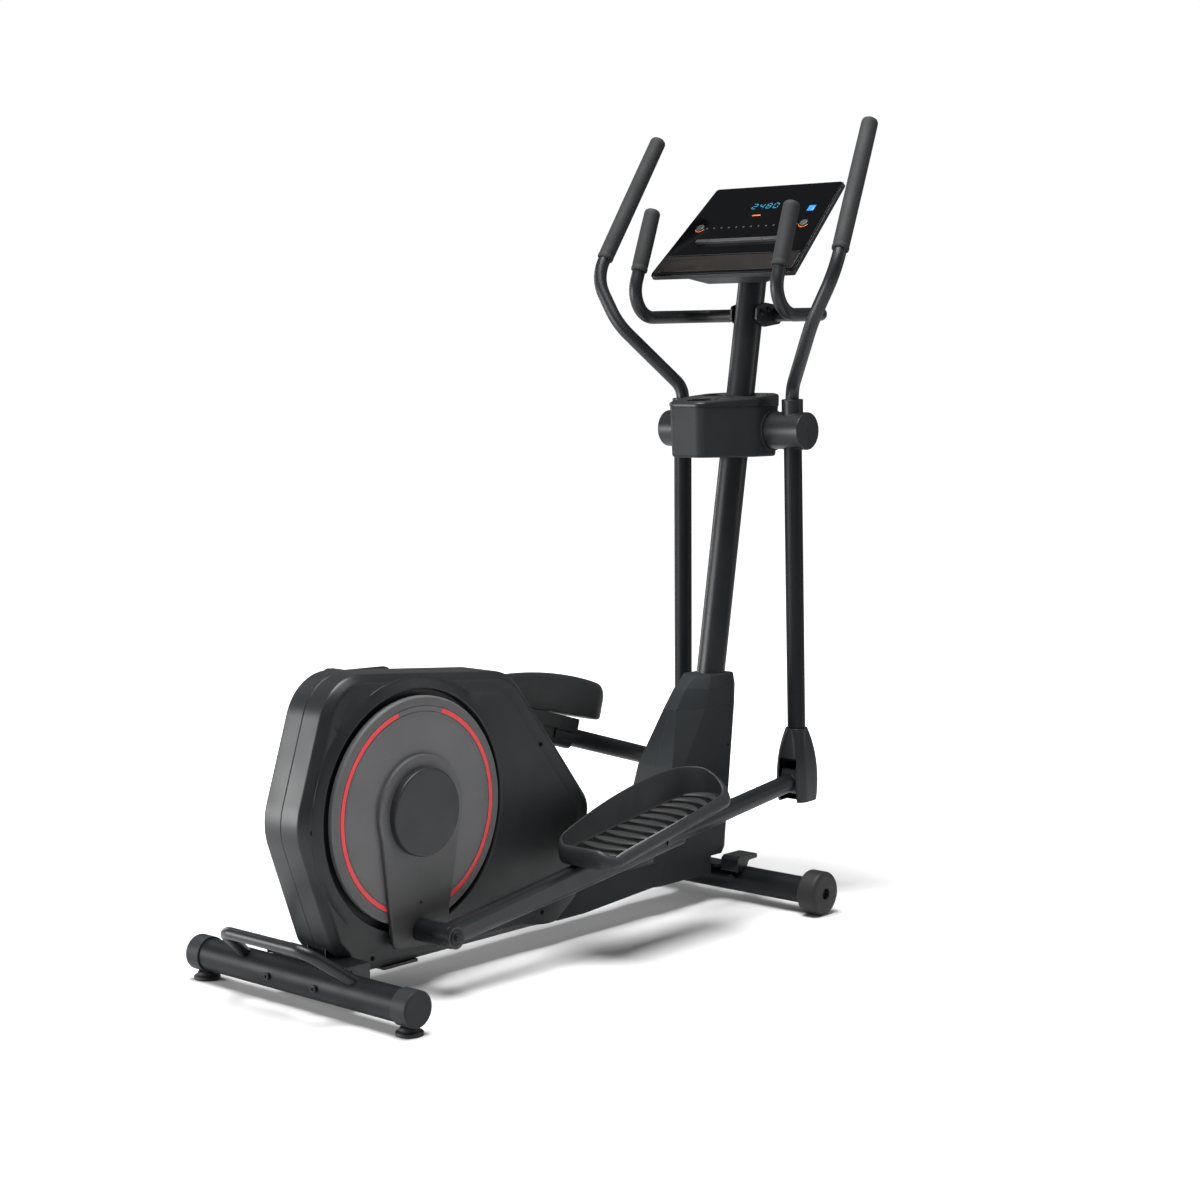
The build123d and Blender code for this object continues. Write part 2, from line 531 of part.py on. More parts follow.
def console_plane(depth=0.0):
    """Local x runs to the user's right, local y up the face, and local z out of it."""
    slope = radians(CONSOLE_SLOPE)
    out = Vector(-sin(slope), 0, cos(slope))
    origin = Vector(CONSOLE_X, 0, CONSOLE_Z) - out * depth
    return Plane(origin=origin, x_dir=(0, -1, 0), z_dir=out)


def console_face_outline(inset):
    low, top, far = CONSOLE_LOW_HALF - inset, CONSOLE_TOP_HALF - inset, CONSOLE_LENGTH - inset
    face = make_face(Polyline((-low, inset), (low, inset), (top, far), (-top, far), close=True))
    return fillet(face.vertices(), 7)


def console_back():
    slab = extrude(console_plane(3) * console_face_outline(0), amount=3 - CONSOLE_THICK)
    edge = slab.edges().group_by(Axis((0, 0, 0), console_plane().z_dir))[0]
    slab = chamfer(edge, 4)
    tub = loft([
        console_plane(CONSOLE_THICK - 1) * Pos(0, 126) * RectangleRounded(296, 222, 14),
        console_plane(56) * Pos(0, 116) * RectangleRounded(190, 168, 22),
    ])
    shell = slab + tub
    shell -= loft([
        console_plane(4.5) * Pos(0, 126) * RectangleRounded(290, 216, 12),
        console_plane(53) * Pos(0, 116) * RectangleRounded(184, 162, 20),
    ])
    shell -= extrude(console_plane(9) * Pos(0, DISPLAY_U) * RectangleRounded(150.4, 46.4, 3), amount=9)
    return shell - button_wells() - post_cut(1200, 1390, POST_R + 0.3)


def button_wells():
    wells = [Pos(sign * BUTTON_Y, BUTTON_U) * Circle(BUTTON_R + GAP) for sign in (-1, 1)]
    return [extrude(console_plane(9) * well, amount=14) for well in wells]


def console_face():
    return extrude(console_plane(2.9) * console_face_outline(2), amount=2.9) - button_wells()


def console_display():
    return extrude(console_plane(8) * Pos(0, DISPLAY_U) * RectangleRounded(150, 46, 3), amount=4.9)


def console_board():
    board = extrude(console_plane(11) * Pos(0, 150) * Rectangle(250, 150), amount=1.6)
    return board + extrude(console_plane(22) * Pos(60, 130) * Rectangle(24, 30), amount=11.5)


def console_ledge():
    ledge = extrude(console_plane(0) * Pos(0, 101) * RectangleRounded(236, 9, 3), amount=8)
    return fillet(ledge.faces().sort_by(Axis((0, 0, 0), console_plane().z_dir))[-1].edges(), 2)


def console_button(sign):
    cap = extrude(console_plane(3.4) * Pos(sign * BUTTON_Y, BUTTON_U) * Circle(BUTTON_R), amount=6.4)
    return fillet(cap.faces().sort_by(Axis((0, 0, 0), console_plane().z_dir))[-1].edges(), 1.5)


def fixed_handlebar():
    side = [(BAR_X, BAR_Y, BAR_Z), FIXED_ELBOW, FIXED_TOP]
    right = [(x, -y, z) for x, y, z in reversed(side)]
    return bent_pipe(right + side, [58, 72, 72, 58], BAR_R, 2)


def foam_grip(elbow, top, length):
    """A closed-end sleeve on the last straight stretch of a bar."""
    axis = (Vector(*top) - Vector(*elbow)).normalized()
    low, high = Vector(*top) - axis * (length - 8), Vector(*top) + axis * 8
    grip = rod(tuple(low), tuple(high), GRIP_R)
    grip = fillet(grip.edges().sort_by(Axis.Z)[-1], 6)
    grip = fillet(grip.edges().sort_by(Axis.Z)[0], 2)
    return grip - rod(tuple(low - axis * 5), top, BAR_R + 0.1)


def fixed_grips():
    return both(mirror(foam_grip(FIXED_ELBOW, FIXED_TOP, 138), about=Plane.XZ))


def handlebar_clamps():
    """Two plates that tie the crossbar to the front of the post."""
    x = post_x(BAR_Z)
    corners = [(x - 20, BAR_Z - 12), (x + 8, BAR_Z - 26), (BAR_X + 20, BAR_Z - 18),
               (BAR_X + 20, BAR_Z + 20), (x + 12, BAR_Z + 26), (x - 18, BAR_Z + 18)]
    shape = outline(corners, [8] * 6)
    plate = across(shape, -31, 5)
    plate -= drum(BAR_X, BAR_Z, -40, 40, BAR_R + 0.05)
    for place_x, place_z in CLAMP_BOLTS:
        plate -= drum(place_x, place_z, -40, -28, 3.52)
    return both(plate)


# Swing arms


def swing_arm():
    hub = drum(0, 0, -178, -HUB_IN - 3, 26)
    arm = hub + rod((0, -ARM_Y, 0), (0, -ARM_Y, -LOWER_LENGTH + 44), TUBE_R)
    arm -= rod((0, -ARM_Y, -26), (0, -ARM_Y, -LOWER_LENGTH + 60), TUBE_R - TUBE_WALL)
    arm += rod((0, -ARM_Y, 0), (0, -ARM_Y, 62), HANDLE_R - 2.1)
    arm += block(-19, 19, -ARM_Y - 29, -ARM_Y + 29, -LOWER_LENGTH + 42, -LOWER_LENGTH + 52)
    for y in (-ARM_Y - 29, -ARM_Y + 24.5):
        arm += block(-16, 16, y, y + 4.5, -LOWER_LENGTH, -LOWER_LENGTH + 44)
        arm += drum(0, -LOWER_LENGTH, y, y + 4.5, 16)
    arm += drum(0, -LOWER_LENGTH, -ARM_Y - 30, -ARM_Y + 30, PIN_R)
    return arm - drum(0, 0, -HUB_OUT, -90, PIVOT_AXLE_R + RUNNING)


def handlebar():
    return bent_pipe(HANDLE_PATH, HANDLE_BENDS, HANDLE_R, 2)


def handle_grip():
    return foam_grip(HANDLE_PATH[-2], HANDLE_PATH[-1], 307)


def hub_cover():
    """A split plastic cover: two halves that meet on the arm's own plane."""
    cover = drum(0, 0, -HUB_OUT, -HUB_IN, HUB_R)
    cover = fillet(cover.edges().filter_by(GeomType.CIRCLE).group_by(Axis.Y)[0], 2.5)
    cover += rod((0, -ARM_Y, 0), (0, -ARM_Y, 66), 22.5)
    cover = fillet(cover.edges().group_by(Axis.Z)[-1], 2)
    cover -= drum(0, 0, -HUB_OUT + 3.2, -HUB_IN - 3, HUB_R - 3) + drum(0, 0, -HUB_IN - 4, -90, 27)
    cover -= rod((0, -ARM_Y, 10), (0, -ARM_Y, 63), 19.5) + rod((0, -ARM_Y, 60), (0, -ARM_Y, 80), HANDLE_R + 0.1)
    cover -= rod((0, -ARM_Y, 0), (0, -ARM_Y, -60), TUBE_R + 0.1)
    halves = []
    for sign in (-1, 1):
        halves.append(cover & block(sign * 0.4, sign * 60, -200, -90, -60, 90))
    return halves


def boot():
    """The cover of the lower joint, open at the rear and below for the pedal arm."""
    def form(inset):
        sections = []
        for z, half_x, half_y, r in ((112, 23, 23, 22.9), (60, 32, 34, 20), (0, 37, 38, 22), (-44, 33, 36, 20)):
            plane = Plane.XY.offset(z - LOWER_LENGTH)
            size = (2 * (half_x - inset), 2 * (half_y - inset))
            sections.append(plane * Pos(0, -ARM_Y) * RectangleRounded(*size, r - inset))
        return loft(sections)
    shell = form(0) - (form(3) & block(-60, 60, -250, -50, -LOWER_LENGTH - 41, -LOWER_LENGTH + 109))
    shell -= block(-80, -6, -ARM_Y - BOOT_HALF, -ARM_Y + BOOT_HALF, -LOWER_LENGTH - 60, -LOWER_LENGTH + BOOT_TOP)
    return shell - rod((0, -ARM_Y, -LOWER_LENGTH + 90), (0, -ARM_Y, -LOWER_LENGTH + 120), TUBE_R + 0.1)


# Pedal arms and pedals, about the lower joint


def dust_shield():
    """A curved plate round the lower joint that closes the boot's slot as the arm tilts."""
    reach = 60 / cos(radians(SHIELD_SPREAD))
    rise = reach * sin(radians(SHIELD_SPREAD))
    wedge = make_face(Polyline((0, 0), (-60, rise), (-60, -rise), close=True))
    half = BOOT_HALF - 0.7
    return ring(0, 0, -ARM_Y - half, -ARM_Y + half, SHIELD_R, SHIELD_R - 2) & across(wedge, 0, 300)


def arm_section(x, tall):
    plane = Plane(origin=(x, -ARM_Y, 0), x_dir=(0, 1, 0), z_dir=(1, 0, 0))
    return plane * RectangleRounded(30, tall, 13)


def pedal_arm():
    arm = rod((-8, -ARM_Y, 0), (-460, -ARM_Y, 0), TUBE_R) + dust_shield()
    arm -= rod((-30, -ARM_Y, 0), (-461, -ARM_Y, 0), TUBE_R - TUBE_WALL)
    arm += drum(0, 0, -ARM_Y - 23, -ARM_Y + 23, 18)
    arm += loft([arm_section(-PEDAL_ARM, 2 * ARM_END_R - 2), arm_section(-720, 52)])
    arm += extrude(arm_section(-720, 52), amount=320)
    arm += drum(-PEDAL_ARM, 0, -ARM_Y - 15, -ARM_Y + 15, ARM_END_R)
    arm += drum(-PEDAL_ARM, 0, -SLEEVE_OUT, -ARM_OUT - 0.6, SLEEVE_R)
    seat = block(SEAT_X0, SEAT_X1, -ARM_Y - SEAT_HALF, -ARM_Y + SEAT_HALF, 10, PEDAL_BASE - 0.2)
    arm += seat & pedal_tilt(block(-800, -200, -300, 0, -60, -0.2))
    arm -= ring(-PEDAL_ARM, 0, -SLEEVE_OUT, -SLEEVE_OUT + 2, 12, 8)
    return arm - drum(0, 0, -ARM_Y - 30, -ARM_Y + 30, PIN_R + RUNNING)


def pedal_tilt(shape):
    """Tips a piece drawn on a level pedal base about the base's front end."""
    return Pos(PEDAL_FRONT, 0, PEDAL_BASE + 9) * Rot(0, -PEDAL_TILT, 0) * Pos(-PEDAL_FRONT, 0, 0) * shape


def pedal_plan(inset):
    points = [
        (PEDAL_REAR, PEDAL_IN), (PEDAL_FRONT, PEDAL_IN - 12), (PEDAL_FRONT, PEDAL_OUT + 22), (PEDAL_REAR, PEDAL_OUT)
    ]
    return offset(make_face(FilletPolyline(*points, radius=[22, 58, 46, 26], close=True)), amount=-inset)


def pedal_tray():
    """A tray with a tall inner wall that curves round the front, a low outer rim and a hollow underside."""
    body = extrude(pedal_plan(0), amount=84)
    body -= extrude(Plane.XY.offset(PEDAL_FLOOR) * pedal_plan(PEDAL_WALL), amount=90)
    body -= extrude(pedal_plan(PEDAL_WALL), amount=PEDAL_FLOOR - PEDAL_SKIN)
    body += block(SEAT_X0, SEAT_X1, -ARM_Y - SEAT_HALF, -ARM_Y + SEAT_HALF, 0, PEDAL_FLOOR - 1)
    rear, front = PEDAL_REAR - 10, PEDAL_FRONT + 10
    arch = Polyline((rear, 0), (rear, ARCH_REAR))
    arch += ThreePointArc((rear, ARCH_REAR), ((rear + front) / 2 + 40, ARCH_TOP), (front, ARCH_FRONT))
    side = make_face(arch + Polyline((front, ARCH_FRONT), (front, 0), (rear, 0)))
    body = body & across(side, 0, 300)
    corners = [
        (PEDAL_IN + 5, 0), (PEDAL_IN + 5, 86), (PEDAL_IN - 40, 80),
        (PEDAL_OUT + 12, 27), (PEDAL_OUT - 5, 22), (PEDAL_OUT - 5, 0),
    ]
    lean = make_face(Polyline(*corners, close=True))
    body = body & extrude(Plane.YZ.offset(PEDAL_REAR - 20) * lean, amount=500)
    return pedal_tilt(body)


def pedal_pad():
    """A rubber tread with cross ribs."""
    pad = extrude(Plane.XY.offset(PEDAL_FLOOR + 0.1) * pedal_plan(8), amount=2.5)
    for number in range(RIB_COUNT):
        x = PEDAL_REAR + 42 + RIB_PITCH * number
        pad += Pos(x, (PEDAL_IN + PEDAL_OUT) / 2, PEDAL_FLOOR + 3) * Box(12, 104, 4)
    return pedal_tilt(pad & extrude(pedal_plan(8), amount=40))


os.makedirs("parts", exist_ok=True)

save("main_frame", main_frame())
save("rear_stabilizer", rear_stabilizer())
save("rear_stabilizer_caps", *rear_caps())
save("lift_handle", lift_handle())
save("front_stabilizer", *front_stabilizer())
save("upright_post", upright_post())
save("frame_bolts", *frame_bolts())
save("crank_axle", crank_axle())
save("crank_bearings", *crank_bearings())
save("drive_pulley", drive_pulley())
save("drive_belt", drive_belt())
save("idler_pulley", idler_pulley())
save("idler_bracket", idler_bracket())
save("flywheel", flywheel())
save("flywheel_pulley", flywheel_pulley())
save("flywheel_axle", flywheel_axle())
save("magnet_bracket", magnet_bracket())
save("resistance_motor", resistance_motor())
save("drive_discs", *drive_discs())
save("crank_arms", *crank_arms())
save("crank_hub_caps", *crank_hub_caps())
save("base_shroud_cap", shroud_cap())
save("housing_screws", *housing_screws())
save("pivot_axle", pivot_axle())
save("tray_body", tray_body())
save("tray_lid", tray_lid())
save("console_back", console_back())
save("console_face", console_face())
save("console_display", console_display())
save("console_board", console_board())
save("console_ledge", console_ledge())
save("fixed_handlebar", fixed_handlebar())
save("fixed_grips", *fixed_grips())
save("handlebar_clamps", *handlebar_clamps())

for name, make in (
    ("transport_wheel", transport_wheel),
    ("levelling_foot", levelling_foot),
    ("housing_shell", housing_shell),
    ("base_shroud", base_shroud),
):
    right, left = both(make())
    save(f"right_{name}", right)
    save(f"left_{name}", left)

save("right_console_button", console_button(1))
save("left_console_button", console_button(-1))

for side in ("right", "left"):
    save(f"{side}_swing_arm", swing(swing_arm(), side))
    save(f"{side}_handlebar", swing(handlebar(), side))
    save(f"{side}_handle_grip", swing(handle_grip(), side))
    save(f"{side}_hub_cover", *[swing(half, side) for half in hub_cover()])
    save(f"{side}_boot", swing(boot(), side))
    save(f"{side}_pedal_arm", pedal(pedal_arm(), side))
    save(f"{side}_pedal_tray", pedal(pedal_tray(), side))
    save(f"{side}_pedal_pad", pedal(pedal_pad(), side))
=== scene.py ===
import json
from math import atan2, cos, exp, log, pi, radians, sin, sqrt, tan

import bmesh
import bpy
from mathutils import Matrix, Vector


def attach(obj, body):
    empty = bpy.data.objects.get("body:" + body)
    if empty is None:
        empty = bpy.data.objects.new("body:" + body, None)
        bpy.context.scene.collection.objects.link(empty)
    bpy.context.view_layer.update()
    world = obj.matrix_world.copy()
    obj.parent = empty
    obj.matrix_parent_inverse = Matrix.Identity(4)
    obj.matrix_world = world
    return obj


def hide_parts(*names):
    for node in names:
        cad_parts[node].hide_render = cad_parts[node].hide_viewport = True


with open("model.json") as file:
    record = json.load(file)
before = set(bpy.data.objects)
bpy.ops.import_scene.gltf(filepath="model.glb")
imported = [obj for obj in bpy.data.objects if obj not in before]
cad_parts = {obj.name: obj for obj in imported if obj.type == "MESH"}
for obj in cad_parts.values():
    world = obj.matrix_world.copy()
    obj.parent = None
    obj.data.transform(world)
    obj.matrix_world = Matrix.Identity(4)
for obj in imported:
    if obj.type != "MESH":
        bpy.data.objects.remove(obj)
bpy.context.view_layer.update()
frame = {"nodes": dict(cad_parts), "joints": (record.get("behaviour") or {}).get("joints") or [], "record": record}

# Elliptical trainer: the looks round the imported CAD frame.
# Metres throughout. +X is forward to the console, +Y the user's left, +Z up, and the floor is z = 0.

JOINT = {joint["name"]: Vector(joint["pos_m"]) for joint in frame["joints"] if joint["type"] == "hinge"}
PIVOT = JOINT["right_swing_pivot"]
CRANK = JOINT["crank_spin"]
CRANK_R = 0.2164
CRANK_TURN = radians(-1.66)
SIDES = ("right", "left")


# Materials


def new_material(name):
    material = bpy.data.materials.new(name)
    material.use_nodes = True
    return material, material.node_tree.nodes, material.node_tree.links


def math_node(nodes, links, operation, first, second=None, clamp=False):
    node = nodes.new("ShaderNodeMath")
    node.operation, node.use_clamp = operation, clamp
    for socket, value in zip(node.inputs, (first, second)):
        if hasattr(value, "is_output"):
            links.new(value, socket)
        elif value is not None:
            socket.default_value = value
    return node.outputs[0]


def noise(nodes, links, size, detail=2.0):
    """Noise whose lumps are about size metres across, fixed to the piece."""
    place = nodes.new("ShaderNodeTexCoord")
    node = nodes.new("ShaderNodeTexNoise")
    node.inputs["Scale"].default_value = 0.5 / size
    node.inputs["Detail"].default_value = detail
    links.new(place.outputs["Object"], node.inputs["Vector"])
    return node.outputs["Fac"]


def span(nodes, links, value, low, high, out_low, out_high):
    node = nodes.new("ShaderNodeMapRange")
    for socket, number in zip(("From Min", "From Max", "To Min", "To Max"), (low, high, out_low, out_high)):
        node.inputs[socket].default_value = number
    links.new(value, node.inputs["Value"])
    return node.outputs["Result"]


def finish(name, colour, rough, metal=0.0, grain=0.0004, depth=0.00002, peel=0.0, wear=0.35, coat=0.0,
           mottle=0.10, rough_spread=0.08, edge=0.0016, specular=0.4, fade=None):
    """A moulded or coated finish: soft mottling, a fine grain, roughness that wanders and paler worn edges.

    fade is (axis, start, end, share), a painted shade: the colour is multiplied by share past end along that axis.
    """
    material, nodes, links = new_material(name)
    shader = nodes["Principled BSDF"]
    shader.inputs["Metallic"].default_value = metal
    shader.inputs["Coat Weight"].default_value = coat
    shader.inputs["Coat Roughness"].default_value = 0.08
    shader.inputs["Specular IOR Level"].default_value = specular

    rounded = nodes.new("ShaderNodeBevel")
    rounded.samples = 4
    rounded.inputs["Radius"].default_value = edge
    flat = nodes.new("ShaderNodeNewGeometry")
    dot = nodes.new("ShaderNodeVectorMath")
    dot.operation = "DOT_PRODUCT"
    links.new(rounded.outputs["Normal"], dot.inputs[0])
    links.new(flat.outputs["Normal"], dot.inputs[1])
    rub = math_node(nodes, links, "MULTIPLY", span(nodes, links, dot.outputs["Value"], 0.995, 0.80, 0.0, 1.0),
                    span(nodes, links, noise(nodes, links, 0.012, 4), 0.35, 0.62, 0.25, 1.0))

    mottle_and_shade = span(nodes, links, noise(nodes, links, 0.09, 3), 0.3, 0.7, 1 - mottle, 1 + mottle)
    # The optional ramp darkens the colour along one axis: painted shade.
    if fade:
        axis, start, end, share = fade
        split = nodes.new("ShaderNodeSeparateXYZ")
        place = nodes.new("ShaderNodeTexCoord")
        links.new(place.outputs["Object"], split.inputs[0])
        painted_shade_ramp = span(nodes, links, split.outputs[axis], start, end, 1.0, share)
        mottle_and_shade = math_node(nodes, links, "MULTIPLY", mottle_and_shade, painted_shade_ramp)
    base = nodes.new("ShaderNodeVectorMath")
    base.operation = "SCALE"
    base.inputs[0].default_value = colour
    links.new(mottle_and_shade, base.inputs["Scale"])
    mixed = nodes.new("ShaderNodeMix")
    mixed.data_type = "RGBA"
    links.new(math_node(nodes, links, "MULTIPLY", rub, wear), mixed.inputs["Factor"])
    links.new(base.outputs[0], mixed.inputs["A"])
    mixed.inputs["B"].default_value = (*[min(1, 0.05 + 2.2 * c) for c in colour], 1)
    links.new(mixed.outputs["Result"], shader.inputs["Base Color"])

    patches = span(nodes, links, noise(nodes, links, 0.03, 5), 0.3, 0.7,
                   rough - rough_spread, rough + rough_spread)
    rubbed = math_node(nodes, links, "MULTIPLY", rub, -0.12)
    links.new(math_node(nodes, links, "ADD", patches, rubbed, clamp=True), shader.inputs["Roughness"])

    height = math_node(nodes, links, "MULTIPLY", noise(nodes, links, grain, 3), depth)
    if peel:
        height = math_node(nodes, links, "ADD", height,
                           math_node(nodes, links, "MULTIPLY", noise(nodes, links, 0.0022, 1), peel))
    bump = nodes.new("ShaderNodeBump")
    bump.inputs["Distance"].default_value = 1.0
    bump.inputs["Strength"].default_value = 0.6
    links.new(height, bump.inputs["Height"])
    links.new(rounded.outputs["Normal"], bump.inputs["Normal"])
    links.new(bump.outputs["Normal"], shader.inputs["Normal"])
    return material


def glow(name, colour, strength):
    """A lit display colour: it glows a little unevenly, as a backlit segment does."""
    material, nodes, links = new_material(name)
    shader = nodes["Principled BSDF"]
    shader.inputs["Emission Color"].default_value = (*colour, 1)
    shader.inputs["Base Color"].default_value = (*colour, 1)
    shader.inputs["Roughness"].default_value = 0.3
    level = span(nodes, links, noise(nodes, links, 0.004, 2), 0.2, 0.8, 0.75 * strength, 1.15 * strength)
    links.new(level, shader.inputs["Emission Strength"])
    return material


PAINT = finish("powder_coat", (0.0095, 0.0105, 0.0122), 0.36, depth=0.000002, peel=0.000003, wear=0.20,
               rough_spread=0.04, specular=0.36)
PLASTIC = finish("moulded_plastic", (0.0140, 0.0155, 0.0167), 0.36, depth=0.00001, wear=0.24,
                 rough_spread=0.04, specular=0.32)
BAR_PAINT = finish("bar_coat", (0.0095, 0.0105, 0.0122), 0.38, depth=0.000002, peel=0.000003, wear=0.10,
                   rough_spread=0.03, edge=0.0002, specular=0.36)
# A darker copy of the powder coat, on the swing arms and stabilizers: its darker colour is painted shade; its
# higher roughness and weaker specular are a satin finish.
SHADED_SATIN_PAINT = finish("satin_coat_painted_shade", (0.0072, 0.0080, 0.0094), 0.44, depth=0.000002, peel=0.000003, wear=0.20,
                     rough_spread=0.04, specular=0.15)
# A paler copy of the moulded plastic, on the pod, the base shrouds and the stabilizer caps: its paler colour is
# painted light; its higher roughness and weaker specular are a satin finish.
LIT_SATIN_PLASTIC = finish("satin_plastic_painted_light", (0.0230, 0.0255, 0.0276), 0.46, depth=0.00001, wear=0.24,
                       rough_spread=0.04, specular=0.10)
DISC = finish("disc_plastic", (0.108, 0.109, 0.112), 0.46, depth=0.00001, wear=0.3)
DISC_EDGE = finish("disc_edge_plastic", (0.088, 0.088, 0.091), 0.44, depth=0.00001, wear=0.3)
# Crank arm colour darkens towards its lower end, to 0.30 of itself: painted shade.
ARM = finish("crank_arm_plastic", (0.085, 0.086, 0.089), 0.42, depth=0.00001, wear=0.4,
             fade=("Z", CRANK.z - 0.02, CRANK.z - 0.24, 0.30))
CAP = finish("hub_cap_plastic", (0.021, 0.022, 0.024), 0.42, wear=0.4)
PEDAL = finish("pedal_plastic", (0.0245, 0.0255, 0.0272), 0.44, grain=0.0009, depth=0.00006, wear=0.3,
               specular=0.28)
TREAD = finish("tread_rubber", (0.0225, 0.0228, 0.0238), 0.50, grain=0.0008, depth=0.00006, wear=0.2)
# Pale lip colour along the mat's outer edge: a painted highlight on its lit chamfer.
PAINTED_HIGHLIGHT_LIP = finish("tread_lip_painted_highlight", (0.220, 0.222, 0.228), 0.30, depth=0.00001, wear=0.5)
# Near-black mat colour between the ribs: painted shade in the gaps, darker than the rubber's own tone.
GROOVE_SHADE = finish("tread_groove_painted_shade", (0.0030, 0.0030, 0.0032), 0.75, wear=0.0, specular=0.1)
FOAM = finish("foam", (0.0140, 0.0148, 0.0157), 0.74, grain=0.0011, depth=0.00006, wear=0.1, edge=0.0003)
RUBBER = finish("foot_rubber", (0.0125, 0.0125, 0.0132), 0.62, grain=0.0007, depth=0.0001, wear=0.3)
GLOSS = finish("console_gloss", (0.0012, 0.0013, 0.0018), 0.08, specular=0.18, depth=0.000002, wear=0.15,
               rough_spread=0.03)
PANEL = finish("console_panel", (0.0130, 0.0110, 0.0100), 0.18, depth=0.000002, wear=0.15, rough_spread=0.04)
TRIM = finish("console_trim", (0.034, 0.034, 0.037), 0.30, wear=0.4)
STEEL = finish("turned_steel", (0.42, 0.42, 0.44), 0.30, metal=1.0, wear=0.3)
BOLT = finish("black_oxide", (0.012, 0.012, 0.013), 0.36, metal=0.6, wear=0.6)
# Near-black recess colour round each housing screw: painted shade in the recess, laid over the screw too.
RECESS_SHADE = finish("screw_recess_painted_shade", (0.0015, 0.0015, 0.0016), 0.70, wear=0.0, specular=0.1)
IRON = finish("machined_iron", (0.10, 0.10, 0.105), 0.42, metal=0.9, wear=0.5)
BOARD = finish("circuit_board", (0.02, 0.12, 0.05), 0.45, wear=0.2)
RED = finish("red_band", (0.72, 0.055, 0.062), 0.42, wear=0.1, mottle=0.06)
LIGHT_LINE = finish("light_line", (0.13, 0.13, 0.135), 0.40, wear=0.1)
CYAN = glow("cyan_display", (0.012, 0.17, 0.27), 0.45)
ORANGE = glow("orange_mark", (0.50, 0.11, 0.02), 0.35)
BLUE = glow("blue_mark", (0.015, 0.13, 0.42), 0.8)
GREY_MARK = finish("grey_mark", (0.032, 0.032, 0.034), 0.40, wear=0.1)

NODE_FINISH = {
    "crank_arms": ARM, "drive_discs": DISC, "crank_hub_caps": CAP,
    "frame_bolts": BOLT, "housing_screws": BOLT,
    "console_face": GLOSS, "console_display": GLOSS, "console_board": BOARD, "console_ledge": TRIM,
    "right_swing_arm": SHADED_SATIN_PAINT, "left_swing_arm": SHADED_SATIN_PAINT, "rear_stabilizer": SHADED_SATIN_PAINT,
    "front_stabilizer": SHADED_SATIN_PAINT, "tray_body": LIT_SATIN_PLASTIC, "base_shroud_cap": LIT_SATIN_PLASTIC,
    "rear_stabilizer_caps": LIT_SATIN_PLASTIC,
    "right_base_shroud": LIT_SATIN_PLASTIC, "left_base_shroud": LIT_SATIN_PLASTIC,
    "drive_belt": RUBBER, "resistance_motor": PLASTIC, "drive_pulley": PLASTIC, "idler_pulley": STEEL,
}
SLOT_FINISH = {
    "frame_paint": PAINT, "housing_plastic": PLASTIC, "pedal_plastic": PEDAL,
    "tread_rubber": TREAD, "foam": FOAM, "console_trim": TRIM, "wheel_rubber": RUBBER,
    "bare_steel": STEEL, "flywheel_iron": IRON,
}


def dress(obj, material, angle=32):
    """Gives a mesh its finish, and shades it smooth up to that crease angle."""
    obj.data.materials.clear()
    obj.data.materials.append(material)
    obj.data.shade_smooth()
    obj.data.set_sharp_from_angle(angle=radians(angle))
    return obj


for row in frame["record"]["subparts"]:
    node = row["node"]
    dress(frame["nodes"][node], NODE_FINISH.get(node) or SLOT_FINISH[row["material_slot"]])


# Stage, light and camera


def area_light(name, place, target, size, power, size_y=None):
    data = bpy.data.lights.new(name, "AREA")
    data.energy, data.size = power, size
    data.shape, data.size_y = "RECTANGLE", size_y or size
    lamp = bpy.data.objects.new(name, data)
    bpy.context.scene.collection.objects.link(lamp)
    lamp.location = place
    lamp.rotation_mode = "QUATERNION"
    lamp.rotation_quaternion = (Vector(target) - Vector(place)).to_track_quat("-Z", "Y")


def stage():
    mesh = bpy.data.meshes.new("floor")
    half = 60.0
    corners = [(-half, -half, 0), (half, -half, 0), (half, half, 0), (-half, half, 0)]
    mesh.from_pydata(corners, [], [(0, 1, 2, 3)])
    floor = bpy.data.objects.new("floor", mesh)
    bpy.context.scene.collection.objects.link(floor)
    material, nodes, links = new_material("pale_floor")
    shader = nodes["Principled BSDF"]
    shader.inputs["Roughness"].default_value = 0.8
    shader.inputs["Base Color"].default_value = (0.90, 0.90, 0.905, 1)
    shader.inputs["Emission Color"].default_value = (1, 1, 1, 1)
    place = nodes.new("ShaderNodeTexCoord")
    away = nodes.new("ShaderNodeVectorMath")
    away.operation = "LENGTH"
    links.new(place.outputs["Object"], away.inputs[0])
    path = nodes.new("ShaderNodeLightPath")
    merge = span(nodes, links, away.outputs["Value"], 0.85, 1.6, 0.0, 1.0)
    lift = math_node(nodes, links, "MULTIPLY", merge, path.outputs["Is Camera Ray"])
    links.new(lift, shader.inputs["Emission Strength"])
    mesh.materials.append(material)

    world = bpy.data.worlds.new("studio")
    world.use_nodes = True
    nodes, links = world.node_tree.nodes, world.node_tree.links
    path = nodes.new("ShaderNodeLightPath")
    level = span(nodes, links, path.outputs["Is Camera Ray"], 0.0, 1.0, 0.15, 1.0)
    nodes["Background"].inputs["Color"].default_value = (1, 1, 1, 1)
    links.new(level, nodes["Background"].inputs["Strength"])
    bpy.context.scene.world = world

    area_light("overhead", (-0.6, -0.1, 4.4), (0, 0, 0.5), 2.7, 325)
    area_light("rear_box", (-3.6, 2.6, 0.8), (-0.2, 0, 0.5), 2.6, 165, size_y=1.6)
    area_light("left_strip", (0.4, 4.3, 1.3), (0, 0, 0.6), 0.8, 34, size_y=2.4)
    area_light("right_box", (2.7, -3.0, 1.9), (0.1, 0, 0.8), 1.0, 16, size_y=2.6)


